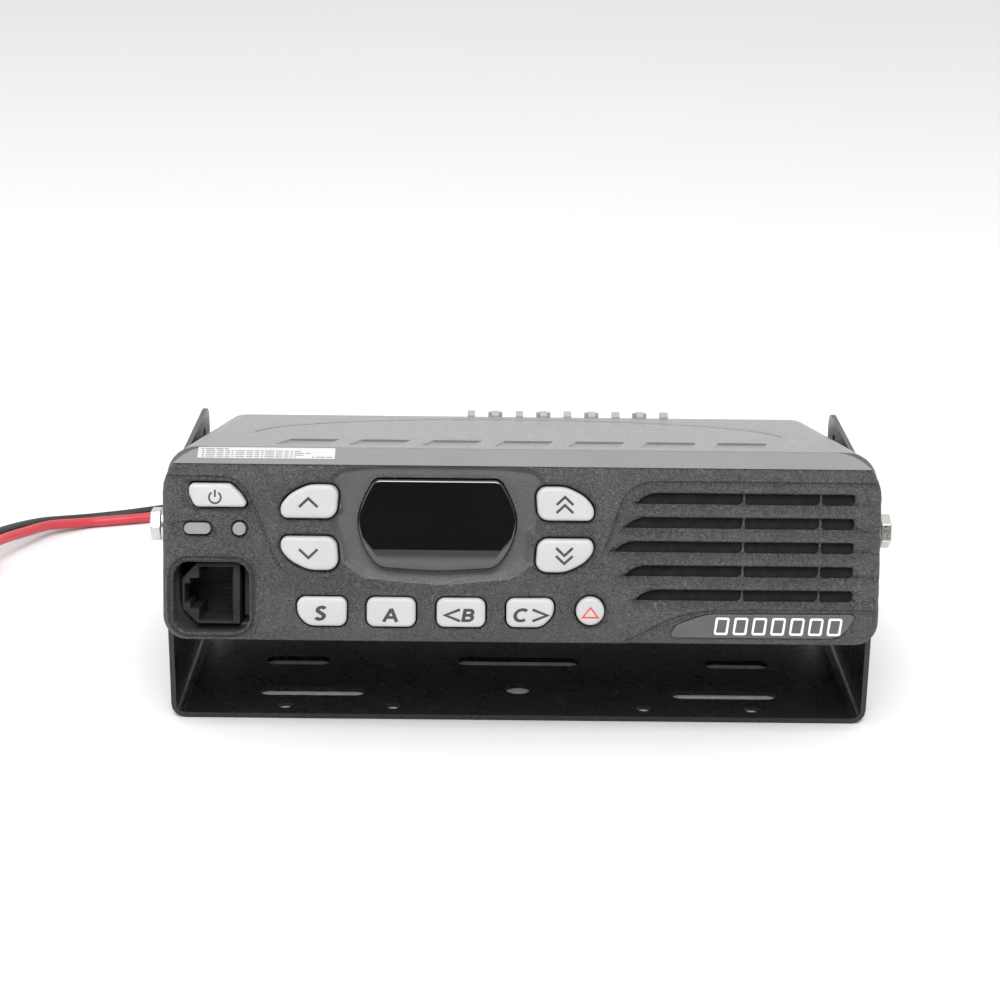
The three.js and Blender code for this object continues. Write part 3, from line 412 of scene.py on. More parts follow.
def makeShell(edgeLoops, rows, lines, step, front, back, backRows=(), clear=None):
    # a closed skin: shaped front, plain back, and walls round edgeLoops, the first of which is the outside
    allRows = edgeLoops + rows
    loose = hexagons(edgeLoops[0], step, allRows + lines, clear or step * 0.55) if step else []
    points, faces, _ = triangulate(allRows, lines, loose)
    faces, middles = facesOf(points, faces, edgeLoops)
    used = sorted({v for f in faces for v in f})
    renumber = {v: k for k, v in enumerate(used)}
    points = points[used]
    faces = [tuple(renumber[v] for v in f) for f in faces]
    rim = rimEdges(faces)
    rimPoints = sorted({v for e in rim for v in e})
    order = {v: k for k, v in enumerate(rimPoints)}
    flatPoints = [Vector(points[v]) for v in rimPoints]
    backEdges = [(order[a], order[b]) for a, b in rim]
    for row in backRows:
        first = len(flatPoints)
        flatPoints += [Vector(p) for p in row]
        backEdges += [(first + k, first + (k + 1) % len(row)) for k in range(len(row))]
    made = delaunay_2d_cdt(flatPoints, backEdges, [], 0, weldWithin)
    backPoints = np.array([tuple(p) for p in made[0]])
    backFaces, _ = facesOf(backPoints, made[2], edgeLoops)
    matched = {original: k for k, originals in enumerate(made[3]) for original in originals}
    shift = len(points)
    vertices = [tuple(p) for p in front(points)] + [tuple(p) for p in back(backPoints)]
    allFaces = faces + [tuple(shift + v for v in reversed(f)) for f in backFaces]
    allFaces += [(b, a, shift + matched[order[a]], shift + matched[order[b]]) for a, b in rim]
    return vertices, allFaces, middles


def smooth(mesh, sharpDeg):
    mesh.polygons.foreach_set("use_smooth", [True] * len(mesh.polygons))
    mesh.set_sharp_from_angle(angle=math.radians(sharpDeg))


def addPiece(name, node, body, vertices, faces, finishes, marks=None, sharpDeg=40, place=inSet):
    mesh = bpy.data.meshes.new(name)
    mesh.from_pydata([place(v) for v in vertices], [], faces)
    for material in finishes:
        mesh.materials.append(material)
    if marks is not None:
        mesh.polygons.foreach_set("material_index", list(marks) + [0] * (len(faces) - len(marks)))
    shaped = bmesh.new()
    shaped.from_mesh(mesh)
    bmesh.ops.remove_doubles(shaped, verts=shaped.verts, dist=1e-7)
    bmesh.ops.recalc_face_normals(shaped, faces=shaped.faces)
    shaped.to_mesh(mesh)
    shaped.free()
    smooth(mesh, sharpDeg)
    piece = addObject(name, mesh)
    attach(piece, body)
    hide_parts(node)


softening = {"fromDeg": 30, "segments": 2, "sharpDeg": 40}  # edges sharper than fromDeg are rounded


def refine(node, material, bevel, reshape=None):  # the same solid with softened edges, bevel in millimetres
    source = frame["nodes"][node]
    shaped = bmesh.new()
    shaped.from_mesh(source.data)
    bmesh.ops.remove_doubles(shaped, verts=shaped.verts, dist=2e-6)
    bmesh.ops.dissolve_limit(shaped, angle_limit=math.radians(1), verts=shaped.verts, edges=shaped.edges)
    if bevel:
        least = math.radians(softening["fromDeg"])
        edges = [e for e in shaped.edges if len(e.link_faces) == 2 and e.calc_face_angle(0) > least]
        bmesh.ops.bevel(shaped, geom=edges, offset=bevel / 1000, segments=softening["segments"], profile=0.5,
                        affect="EDGES", clamp_overlap=True)
    if reshape:
        reshape(shaped)
    bmesh.ops.triangulate(shaped, faces=[f for f in shaped.faces if len(f.verts) > 4])
    mesh = bpy.data.meshes.new(node + "Finished")
    shaped.to_mesh(mesh)
    shaped.free()
    mesh.materials.clear()
    mesh.materials.append(material)
    smooth(mesh, softening["sharpDeg"])
    piece = addObject(mesh.name, mesh)
    piece.modifiers.new("evenShading", "WEIGHTED_NORMAL").keep_sharp = True
    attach(piece, source["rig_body"])
    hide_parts(node)
    return piece


leadWires = {  # drawn: a little under the true diameter; bend: from the exit, where the tilt fades out
    "diameter": 2.9, "drawn": 2.8155, "rings": 120, "sides": 20, "bend": (-44, 34, -36),
}
redRoute = fromBracketFront([
    (-44.2, 94.8, 26.85), (-44.2, 97.7, 26.22), (-44.2, 100.7, 25.58), (-44.6, 108, 23.4), (-46.4, 118, 18.8),
    (-50.6, 128.6, 12.6), (-58.4, 138.2, 6.6), (-69, 144.8, 2.9), (-82, 146.6, 1.7), (-95, 142.8, 1.6),
    (-107.9, 137.2, 1.6), (-119.6, 133.5, 1.6), (-125.5, 131.6, 1.7), (-130.3, 128, 2.5), (-135.1, 123.6, 3.5),
    (-140.2, 113.4, 5), (-144.6, 101.9, 6.6), (-147.4, 94, 6.8), (-148.6, 88.4, 6.8),
])
blackRoute = fromBracketFront([
    (-39.8, 94.8, 26.85), (-39.8, 97.7, 26.22), (-39.8, 100.7, 25.58), (-40.2, 108.6, 23.4), (-41.6, 120, 19.2),
    (-45, 132, 13.4), (-52.4, 143.4, 7.6), (-64, 151, 3.4), (-79, 152.8, 1.6), (-92.4, 149.4, 1.6),
    (-105.4, 144.2, 1.6), (-116, 139.2, 1.6), (-126, 135.2, 1.7), (-132.4, 131, 2.5), (-137.6, 126.4, 3.5),
    (-143.4, 116.6, 5.2), (-147.4, 107, 6.5), (-151.4, 96.4, 6.8), (-153.4, 88.4, 6.8),
])


curveSpans = (((0, 1), (1, 2), (2, 3)), ((0, 2), (1, 3)), ((1, 2),))  # the knots each mix lies between


def along(route, count):  # the smooth centripetal curve through the points, as the solid wires have
    points = [route[0] * 2 - route[1]] + list(route) + [route[-1] * 2 - route[-2]]
    dense = []
    for i in range(1, len(points) - 2):
        near = points[i - 1:i + 3]
        knots = [0.0]
        for a, b in zip(near, near[1:]):
            knots.append(knots[-1] + max((b - a).length ** 0.5, 1e-6))
        for k in range(24):
            t = knots[1] + (knots[2] - knots[1]) * k / 24
            mixed = near
            for spans in curveSpans:
                shares = [(t - knots[low]) / (knots[high] - knots[low]) for low, high in spans]
                mixed = [a.lerp(b, share) for a, b, share in zip(mixed, mixed[1:], shares)]
            dense.append(mixed[0])
    dense.append(route[-1])
    lengths = [0.0]
    for a, b in zip(dense, dense[1:]):
        lengths.append(lengths[-1] + (b - a).length)
    evenly = []
    k = 0
    for step in range(count):
        goal = lengths[-1] * step / (count - 1)
        while k < len(lengths) - 2 and lengths[k + 1] < goal:
            k += 1
        share = (goal - lengths[k]) / max(lengths[k + 1] - lengths[k], 1e-9)
        evenly.append(dense[k].lerp(dense[k + 1], share))
    return evenly, lengths[-1]


def addWire(name, route, material, node):
    centres, length = along(route, leadWires["rings"])
    sides, radius = leadWires["sides"], leadWires["drawn"] / 2000
    vertices, faces = [], []
    side = Vector((1, 0, 0))
    for k, centre in enumerate(centres):
        ahead = (centres[min(k + 1, len(centres) - 1)] - centres[max(k - 1, 0)]).normalized()
        side = (side - ahead * side.dot(ahead)).normalized()
        other = ahead.cross(side)
        for s in range(sides):
            angle = 2 * math.pi * s / sides
            vertices.append(centre + (side * math.cos(angle) + other * math.sin(angle)) * radius)
            if k:
                a, b = (k - 1) * sides + s, (k - 1) * sides + (s + 1) % sides
                faces.append((a, b, b + sides, a + sides))
    faces.append(tuple(range(sides))[::-1])
    faces.append(tuple(range(len(vertices) - sides, len(vertices))))
    mesh = bpy.data.meshes.new(name)
    mesh.from_pydata(vertices, [], faces)
    mesh.materials.append(material)
    smooth(mesh, 50)
    wireTube = addObject(name, mesh)
    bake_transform(wireTube)
    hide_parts(node)
    print(name, "length", round(length, 4))


connectorHousing = refine("lead_connector", nylonHousing, 0.5)
addWire("redSupplyWire", redRoute, redInsulation, "supply_wire_red")
addWire("blackSupplyWire", blackRoute, blackInsulation, "supply_wire_black")
print("supply lead laid")

studio = {
    "floorWhite": 0.86, "floorHalf": 14, "floorDrop": 0.0001,
    "skyLean": 0.9, "skyFrom": -0.35, "skyTo": 0.45, "skyDark": 0.02, "skyBright": 1.0,
    "softboxes": {  # place, aim, width, watts
        "overheadSoftbox": ((0.0, -0.85, 1.0), (0, 0, 0), 0.7, 15),
        "leftSoftbox": ((-1.1, -0.35, 0.7), (0, 0, 0.03), 0.7, 2),
    },
}


def addStudio():
    s = studio
    far, z = s["floorHalf"], -s["floorDrop"]
    mesh = bpy.data.meshes.new("studioFloor")
    mesh.from_pydata([(-far, -far, z), (far, -far, z), (far, far, z), (-far, far, z)], [], [(0, 1, 2, 3)])
    paper = tone(s["floorWhite"], s["floorWhite"] + 0.01)
    mesh.materials.append(finish("palePaper", paper, (0.85, 0.95), (3, 2)))
    addObject("studioFloor", mesh)
    world = bpy.data.worlds.new("studioSky")
    bpy.context.scene.world = world
    world.use_nodes = True
    tree = world.node_tree
    sky = tree.nodes["Background"]
    direction = addShaderNode(tree, "ShaderNodeTexCoord").outputs["Generated"]
    split = addShaderNode(tree, "ShaderNodeSeparateXYZ", {"Vector": direction})
    back = addShaderNode(tree, "ShaderNodeMath", {0: split.outputs["Y"], 1: s["skyLean"]}, operation="MULTIPLY")
    lean = addShaderNode(tree, "ShaderNodeMath", {0: split.outputs["Z"], 1: back.outputs[0]}, operation="ADD")
    ramp = between(tree, lean.outputs[0], s["skyDark"], s["skyBright"], s["skyFrom"], s["skyTo"])
    wire(tree, ramp, sky.inputs["Strength"])
    sky.inputs["Color"].default_value = (1, 1, 1, 1)
    for name, (place, aim, width, watts) in s["softboxes"].items():
        lamp = bpy.data.lights.new(name, "AREA")
        lamp.size = width
        lamp.energy = watts
        holder = addObject(name, lamp)
        holder.location = place
        holder.rotation_euler = (Vector(aim) - Vector(place)).to_track_quat("-Z", "Y").to_euler()
    bpy.context.scene.view_settings.view_transform = "Standard"


addStudio()
print("studio lit")

# solids kept as they are with softened edges: node, finish, bevel in millimetres
for node, material, bevel in (
    ("mounting_bracket", bracketPaint, 0.2),
    ("chassis", castMetal, 0.3),
    ("panel_seal", softRubber, 0),
    ("lcd_module", displayGlass, 0.1),
    ("backlight_guide", guideAcrylic, 0.1),
    ("keypad_mat", softRubber, 0.1),
    ("control_board", boardMask, 0),
    ("main_board", boardMask, 0),
    ("transmitter_shield", tinnedSteel, 0.2),
    ("receiver_shield", tinnedSteel, 0.2),
    ("rf_power_module", moduleEpoxy, 0.3),
    ("filter_capacitor", capacitorSleeve, 0.5),
    ("ribbon_cable", ribbonFilm, 0),
    ("speaker_frame", pressedSteel, 0.2),
    ("speaker_magnet", ferrite, 0.3),
    ("speaker_cone", conePaper, 0),
    ("antenna_connector", nickelPlate, 0.25),
    ("accessory_socket", jackPlastic, 0.2),
    ("external_speaker_jack", jackPlastic, 0.2),
    ("lead_gland", softRubber, 0.3),
    *((f"case_screw_{end}_{side}", brightZinc, 0.2) for end in ("front", "rear") for side in ("left", "right")),
    *((f"pivot_bolt_{side}", brightZinc, 0.3) for side in ("left", "right")),
    *((f"pivot_washer_{side}", brightZinc, 0.12) for side in ("left", "right")),
    ("status_lens", lensPlastic, 0.2),
    ("call_lens", lensPlastic, 0.2),
):
    refine(node, material, bevel)
print("solids softened")

panelShape = {
    "halfWidth": 80, "height": 43, "topRadius": 10, "bottomRadius": 5.4, "depth": 5, "plate": 2.4,
    "browStart": 39.65, "browDepth": 0.9,
}
keyLine = 25.72  # midway between the upper and lower arrow keys
windowMiddle = -18.85
gapRound = 0.35  # all round each key


def flipped(corners, line):
    return [(a, 2 * line - u, r) for a, u, r in corners][::-1]


def mirrored(corners, line):
    return [(2 * line - a, u, r) for a, u, r in corners][::-1]


upKey = [
    (-53.25, 27.82, 1.9), (-41.2, 27.82, 2.5), (-40.65, 35.2, 2.4), (-47.3, 35.25, 7), (-51.6, 33.15, 7),
    (-53.75, 30.4, 3),
]
channelKey = mirrored(upKey, windowMiddle)
keyShapes = {
    "key_power": [
        (-72.5, 30.12, 1.6), (-60.6, 30.17, 0.8), (-62.3, 32.95, 5), (-64.7, 35.27, 1.6), (-73.75, 35.27, 1.1),
        (-73.85, 33.0, 3),
    ],
    "key_up": upKey,
    "key_down": flipped(upKey, keyLine),
    "key_channel_up": channelKey,
    "key_channel_down": flipped(channelKey, keyLine),
    "key_s": [(-47.6, 3.68, 3.5), (-38.9, 3.7, 1.8), (-38.8, 10.2, 1.7), (-49.85, 10.2, 2.0), (-49.95, 6.4, 4)],
    "key_a": box(-34.4, -23.5, 3.65, 10.2, 1.8),
    "key_b": box(-18.85, -8.0, 3.7, 10.2, 1.8),
    "key_c": [(-3.3, 3.8, 1.8), (4.6, 3.8, 3.5), (7.3, 6.6, 4), (7.25, 10.35, 1.8), (-3.35, 10.25, 1.8)],
}


def keyOutline(name, grow=0.0):
    if name == "key_emergency":
        return ring(15.35, 7.55, 3.15 + grow, 48)
    return rounded(keyShapes[name], grow)


def callOutline(grow=0.0):
    return ring(-62.75, 25.22, 1.78 + grow, 32)


keyNames = [*keyShapes, "key_emergency"]
keyLoops = {name: keyOutline(name) for name in keyNames}
keyHoles = {name: keyOutline(name, gapRound) for name in keyNames}

windowShape = [
    (-32.1, 16.95, 4.5), (-18.85, 16.1, 60), (-5.6, 16.95, 4.5), (-2.0, 22.3, 16), (-1.1, 27.9, 16),
    (-2.6, 32.3, 16), (-4.9, 36.57, 2.2), (-32.8, 36.57, 2.2), (-35.1, 32.3, 16), (-36.6, 27.9, 16),
    (-35.7, 22.3, 16),
]
windowLoop = rounded(windowShape)
windowHole = rounded(windowShape, 0.3)
basinLoop = rounded([
    (-40.6, 17.6, 1.2), (-35.5, 13.9, 4), (-18.6, 12.4, 40), (-2.2, 13.9, 4), (3.0, 17.6, 1.2), (2.2, 27, 12),
    (5.6, 36.6, 3), (2.6, 39.0, 3), (-6, 40.05, 9), (-31, 40.0, 9), (-40.2, 39.0, 3), (-43.4, 36.6, 3),
    (-39.8, 27, 12),
])
pillShape = box(-74.95, -69.1, 24.02, 26.47, 1.2)
pillHole = rounded(pillShape, 0.3)
callHole = callOutline()
micShape = box(-77.6, -60.55, 1.85, 17.7, 3.6)
micHole = rounded(micShape)
badgeShape = [
    (33.0, 1.5, 0.8), (70.0, 1.55, 5), (72.9, 3.2, 6), (75.0, 7.3, 0.9), (41.5, 7.1, 12), (34.4, 4.5, 3),
]
slotTips = [25.25, 22.75, 20.45, 22.8, 25.3]
slotShape = {"top": 34.05, "pitch": 5.42, "height": 2.6, "end": 73.9, "lip": 1.9, "strutHalf": 0.22}
strutPlaces = [49.3, 66.4]


def slotLow(row):
    return slotShape["top"] - row * slotShape["pitch"] - slotShape["height"]


def slotLoop(tip, low, high, rightCorners):  # pointed at its left end
    return rounded([(tip, low + 0.05, 0.35), *rightCorners, (tip + 3.6, high, 9), (tip + 1.1, high - 1.1, 9)])


slotHoles, slotOutlines = [], []
for i, tip in enumerate(slotTips):
    low, high = slotLow(i), slotShape["top"] - i * slotShape["pitch"]
    end, half = slotShape["end"], slotShape["strutHalf"]
    left, right = strutPlaces
    slotOutlines.append(slotLoop(tip, low, high, [(end, low, 0.8), (end, high, 0.8)]))
    slotHoles.append(slotLoop(tip, low, high, [(left - half, low, 1.2), (left - half, high, 0.5)]))
    for start, stop, rounds in ((left + half, right - half, (1.2, 0.5)), (right + half, end, (0.9, 0.8))):
        slotHoles.append(rounded([
            (start, low, 0.8), (stop, low, rounds[0]), (stop, high, rounds[1]), (start, high, 0.6),
        ]))

troughs = [  # sunk steps round the keys and lenses
    rounded([
        (-75.4, 29.0, 2.2), (-60.0, 28.85, 1.2), (-59.7, 30.4, 1.4), (-63.9, 36.0, 2.6), (-75.3, 36.1, 1.6),
        (-75.9, 32.6, 2),
    ]),
    rounded([(-78.1, 23.0, 0.9), (-68.0, 23.1, 0.8), (-67.6, 24.4, 1), (-70.2, 26.9, 1.2), (-78.2, 26.9, 1)]),
    ring(-62.75, 25.0, 2.25, 36),
    ring(15.45, 7.35, 4.25, 48),
    rounded(badgeShape, 0.3),
] + [keyOutline(name, gapRound + 0.7) for name in ("key_up", "key_down", "key_channel_up", "key_channel_down")]
leftGroove = [
    (-79.6, 36.7), (-66.5, 36.7), (-64.0, 36.1), (-61.6, 34.4), (-60.2, 31.8), (-58.6, 28.0), (-55.45, 19.5),
    (-53.6, 16.4), (-51.8, 14.3),
]
rightGroove = [
    (17.2, 18.7), (19.4, 23.7), (21.55, 30.1), (22.3, 32.4), (23.7, 34.4), (26.4, 36.0), (29.6, 36.5),
    (79.8, 36.5),
]
badgeGroove = [(22.7, 0.3), (26.6, 2.1), (31.1, 4.7), (35.6, 6.4), (40.1, 7.35), (44.7, 7.75), (79.8, 7.9)]


def softened(line, times=2):  # rounds an open line's corners
    for _ in range(times):
        cut = [line[0]]
        for a, b in zip(line, line[1:]):
            cut.append((a[0] * 0.75 + b[0] * 0.25, a[1] * 0.75 + b[1] * 0.25))
            cut.append((a[0] * 0.25 + b[0] * 0.75, a[1] * 0.25 + b[1] * 0.75))
        line = cut + [line[-1]]
    return line


leftGroove, rightGroove, badgeGroove = (softened(line) for line in (leftGroove, rightGroove, badgeGroove))
leftZone = leftGroove + [(-51.8, -5), (-90, -5), (-90, 36.7)]
rightZone = rightGroove + [(90, 36.5), (90, -5), (17.2, -5)]
badgeZone = badgeGroove + [(90, 7.9), (90, -5), (22.7, -5)]


def bodyShape(inset):
    w, h = panelShape["halfWidth"] - inset, panelShape["height"] - inset
    top, bottom = max(panelShape["topRadius"] - inset, 1), max(panelShape["bottomRadius"] - inset, 1)
    return [(-w, inset, bottom), (w, inset, bottom), (w, h, top), (-w, h, top)]


outerLoop = divided(rounded(bodyShape(0)), 1.6)

relief = {  # how far places on the face stand or sink, in millimetres
    "face": 0.45, "keyShelf": 0.5, "topRoll": 0.4, "leftSink": 0.35, "rightSink": 0.35, "badgeSink": 0.4,
    "basin": 1.3, "trough": 0.45, "groove": 0.4, "edgeRound": 1.6, "holeRound": 0.3, "slotRound": 0.5,
    "lipSlope": 1.25, "lipMost": 1.55, "strutBack": 1.9, "underBand": 0.22,
    "micRidges": ((0.42, 0.34, 0.38), (1.25, 0.3, 0.3), (0.85, 0.25, -0.18)),  # out from it, half width, rise
}


def faceDepth(points):
    x, z = points[:, 0], points[:, 1]
    r, bandStart = relief, panelShape["browStart"]
    depth = np.full(len(points), r["face"])
    depth += r["topRoll"] * np.clip((z - 36.4) / 3.2, 0, 1) ** 2
    shelf = ease(-60.5, -56.5, x) * (1 - ease(11.5, 17, x))
    depth -= r["keyShelf"] * shelf * (1 - ease(10.9, 12.3, z)) * (1 - 0.5 * ease(7, 0, z))
    depth += r["leftSink"] * ease(0.1, 1.0, inward(points, leftZone)) * ease(13.5, 19, z)
    depth += r["rightSink"] * ease(0.1, 1.0, inward(points, rightZone)) * ease(15, 20.5, z + (x > 30) * 8)
    depth += r["badgeSink"] * ease(0.1, 0.8, inward(points, badgeZone))
    basinIn = inward(points, basinLoop)
    basinWall = 1.3 + 1.5 * (1 - ease(16, 30, z))
    depth += r["basin"] * ease(0, 1, basinIn / basinWall)
    for trough in troughs:
        depth += r["trough"] * ease(0, 0.8, inward(points, trough)) * (1 - 0.7 * ease(0.4, 1.6, basinIn))
    for line, fade in ((leftGroove, ease(14.2, 17.5, z)), (rightGroove, ease(18.7, 21.5, z)), (badgeGroove, 1)):
        depth += r["groove"] * (1 - ease(0.08, 0.4, distance(points, line, False))) * fade
    for i, tip in enumerate(slotTips):  # a lip slopes in from below each slot, and the edge above is sharp
        low = slotLow(i)
        fall = (z - (low - slotShape["lip"])) / slotShape["lip"]
        slope = r["lipSlope"] * (fall + np.sqrt(fall * fall + 0.012)) / 2
        inLip = (z > low - 2.7) & (z < low + slotShape["height"] + 0.4)
        beyond = ease(tip - 1.6, tip + 0.4, x) * (1 - 0.55 * ease(73.2, 74.6, x))
        slotIn = inward(points, slotOutlines[i])
        above = z > low + 0.6
        depth += np.where(inLip & ~above, np.minimum(slope, r["lipMost"]) * beyond, 0)
        depth += np.where(inLip & above, roundOver(r["slotRound"], np.maximum(-slotIn, 0)), 0)
        depth = np.where((slotIn > 0.06) & (x < 70), r["strutBack"], depth)
    for loop in [*keyHoles.values(), pillHole, callHole]:
        depth += roundOver(r["holeRound"], distance(points, loop))
    rim = -inward(points, micHole)
    for out, width, rise in r["micRidges"]:
        depth -= rise * (1 - ease(0, width, np.abs(rim - out)))
    depth += roundOver(r["edgeRound"], inward(points, outerLoop)) * (1 - ease(38.5, 40.5, z))
    depth += r["underBand"] * (1 - ease(0.05, 0.3, np.abs(z - bandStart + 0.12)))  # fine line under the band
    steep = (panelShape["depth"] - panelShape["browDepth"]) / (panelShape["height"] - bandStart)
    depth = np.where(z > bandStart + 0.01, panelShape["browDepth"] + (z - bandStart) * steep, depth)
    return np.clip(depth, -0.3, panelShape["depth"])


def panelFront(points):
    return surface(points, faceDepth(points))


hollowShape = box(-76.4, 76.4, 1.8, 39, 4)  # behind the face
hollowLoop = rounded(hollowShape)


def panelBack(points):
    inside = inward(points, hollowLoop) > -0.01
    return surface(points, np.where(inside, panelShape["plate"], panelShape["depth"]))


def makePanel():
    holes = [*keyHoles.values(), windowHole, pillHole, callHole, micHole, *slotHoles]
    edgeLoops = [outerLoop] + [divided(hole, 1.2) for hole in holes]
    rows = [keyOutline(name, gapRound + g) for name in keyNames for g in (0.12, 0.3)]
    rows += [rounded(pillShape, g) for g in (0.42, 0.6)] + [rounded(windowShape, 0.8)]
    rows += [callOutline(g) for g in (0.12, 0.3)]
    rows += [rounded(micShape, g) for g in (0.15, 0.42, 0.68, 0.85, 1.02, 1.25, 1.5)]
    rows += [divided(rounded(bodyShape(inset)), 1.6) for inset in (0.12, 0.35, 0.75, 1.5)]
    rows += [insetLoop(trough, g) if g else trough for trough in troughs for g in (0, 0.27, 0.53, 0.8)]
    rows += [divided(basinLoop, 1.0)] + [divided(insetLoop(basinLoop, g), 1.0) for g in (0.5, 1.1, 1.8, 2.6)]
    lines = []
    for line in (leftGroove, rightGroove, badgeGroove):
        lines += [divided(offsetLine(line, g), 1.2, False) for g in (-0.4, -0.2, 0, 0.2, 0.4, 0.8, 1.1)]
    for left, right, levels in (
        (-78, 78, (39.65, 39.67, 39.53, 39.4, 39.2, 38.6, 37.8)),
        (-61, 17.5, (12.3, 11.95, 11.6, 11.25, 10.9)),
    ):
        lines += [divided([(left, z), (right, z)], 1.5, False) for z in levels]
    for i, tip in enumerate(slotTips):
        low = slotLow(i)
        high = low + slotShape["height"]
        for down in (0.5, 1.0, 1.5, 1.75, 1.9, 2.1, 2.4):
            lines.append(divided([(tip - 1.5, low - down), (79.2, low - down)], 2.0, False))
        for strut in strutPlaces:
            lines += [[(strut - 1.3, z), (strut + 1.3, z)] for z in (low, low + 0.1, high - 0.1, high)]
        lines += [divided([(tip + 4.2, high + g), (78, high + g)], 2.0, False) for g in (0.15, 0.5)]
    backRows = [hollowLoop, rounded(hollowShape, 0.05)]
    vertices, faces, middles = makeShell(edgeLoops, rows, lines, 1.1, panelFront, panelBack, backRows, 0.5)
    marks = np.zeros(len(faces), int)
    marks[:len(middles)][inward(middles, basinLoop) > 0.4] = 1
    heights = np.array([np.mean([vertices[v][2] for v in f]) for f in faces])
    # faces on the sloping band take the lighter copy of the cover paint, which is painted light
    marks[heights > panelShape["browStart"] + 0.01] = 2
    finishes = [panelPlastic, basinPlastic, bandPaintWithPaintedLight]
    addPiece("frontPanelMoulding", "front_panel", "radio", vertices, faces, finishes, marks, 30)


def offsetLine(line, offset):  # to the left of its direction when positive
    result = []
    for i, point in enumerate(line):
        a = Vector(line[max(i - 1, 0)])
        b = Vector(line[min(i + 1, len(line) - 1)])
        side = (b - a).normalized()
        result.append((point[0] + side.y * offset, point[1] - side.x * offset))
    return result


def insetLoop(loop, inset):
    # inwards for an anticlockwise loop
    result = []
    count = len(loop)
    for i, point in enumerate(loop):
        a, b, c = Vector(loop[i - 1]), Vector(point), Vector(loop[(i + 1) % count])
        if (b - a).length < 1e-6 or (c - b).length < 1e-6:
            continue
        one, two = (b - a).normalized(), (c - b).normalized()
        normal = Vector((-(one.y + two.y), one.x + two.x)).normalized()
        stretch = 1 / max(0.5, normal.dot(Vector((-one.y, one.x))))
        result.append((b.x + normal.x * inset * stretch, b.y + normal.y * inset * stretch))
    return result


makePanel()
print("front panel moulded")


keyForm = {"proud": 0.9, "edge": 0.75, "crown": 0.12, "crownReach": 3.2, "foot": 2.55}


def loopsOf(mark):
    return mark if isinstance(mark[0], list) else [mark]


def addKey(name, marks, ink=keyPrint):
    loop = divided(keyLoops[name], 0.9)

    def top(points):
        edge = inward(points, loop)
        crown = keyForm["crown"] * np.clip(1 - edge / keyForm["crownReach"], 0, 1) ** 2
        return surface(points, crown - keyForm["proud"] + roundOver(keyForm["edge"], edge))

    rows = [insetLoop(loop, g) for g in (0.06, 0.18, 0.36, 0.6, 0.85)]
    rows += [line for mark in marks for line in loopsOf(mark)]
    vertices, faces, middles = makeShell([loop], rows, [], 1.3, top, flatAt(keyForm["foot"]), (), 0.5)
    inked = np.zeros(len(middles), int)
    for mark in marks:
        inked[within(middles, loopsOf(mark))] = 1
    addPiece(name.replace("key_", "") + "KeyCap", name, name, vertices, faces, [keyRubber, ink], inked, 50)


def chevron(x, z, half, rise, width=0.6):
    return stroke([(x - half, z), (x, z + rise), (x + half, z)], width)


def letterS(x, z, size):
    path = arc(0, size * 0.235, size * 0.2, 20, 240, 9, 0.85)[:-1]
    path += arc(0, -size * 0.215, size * 0.215, 60, -160, 12, 0.88)
    return [italic(stroke(path, size * 0.22), x, z)]


def letterA(x, z, size):
    foot, bar = size * 0.4, size * 0.26
    half, low = size / 2, -size * 0.16
    legs = [[(-foot, -half), (0, half)], [(foot, -half), (0, half)], [(-bar, low), (bar, low)]]
    return [italic(stroke(leg, size * 0.22), x, z, 0.1) for leg in legs]


def letterB(x, z, size):
    half, w = size / 2, size * 0.22
    left, waist = -size * 0.3, size * 0.01
    bowl = [(left, half - w / 2), *arc(0, size * 0.2, size * 0.19, 90, -90, 8), (left, waist)]
    belly = [(left, waist), *arc(size * 0.03, -size * 0.19, size * 0.2, 90, -90, 8), (left, -half + w / 2)]
    return [italic(stroke(line, w), x, z) for line in ([(left, -half), (left, half)], bowl, belly)]


def letterC(x, z, size):
    return [italic(stroke(arc(0, 0, size * 0.38, 48, 312, 18, 1.08), size * 0.22), x, z)]


def italic(points, x, z, lean=0.2, wide=1.22):
    return [(x + a * wide + b * lean, z + b) for a, b in points]


def sideways(x, z, half, reach, width=0.62):
    return stroke([(x + reach, z + half), (x, z), (x + reach, z - half)], width)


powerLines = [arc(-67.95, 32.3, 1.3, 125, 415, 22), [(-67.95, 32.4), (-67.95, 34.0)]]
addKey("key_power", [stroke(line, 0.42) for line in powerLines])
addKey("key_up", [chevron(-47.33, 30.35, 2.05, 1.95)])
addKey("key_down", [chevron(-47.33, 20.95, 2.05, -1.95)])
addKey("key_channel_up", [chevron(9.4, 31.4, 1.85, 1.75), chevron(9.4, 29.6, 1.85, 1.75)])
addKey("key_channel_down", [chevron(9.4, 20.0, 1.85, -1.75), chevron(9.4, 21.8, 1.85, -1.75)])
addKey("key_s", letterS(-44.6, 6.62, 3.35))
addKey("key_a", letterA(-29.0, 6.3, 3.0))
addKey("key_b", letterB(-11.6, 6.45, 3.0) + [sideways(-16.9, 6.45, 1.3, 3.3)])
addKey("key_c", letterC(0.1, 6.6, 3.1) + [sideways(5.8, 6.6, 1.3, -3.3)])
triangle = [[(13.3, 6.02), (17.5, 6.02), (15.4, 8.72)], [(14.05, 6.42), (16.75, 6.42), (15.4, 8.15)]]
addKey("key_emergency", [triangle], redPrint)
print("keys made")


windowForm = {"crown": -0.75, "bend": 115, "sideBend": 4500, "middle": 25.3, "edge": 0.5, "foot": 2.7}


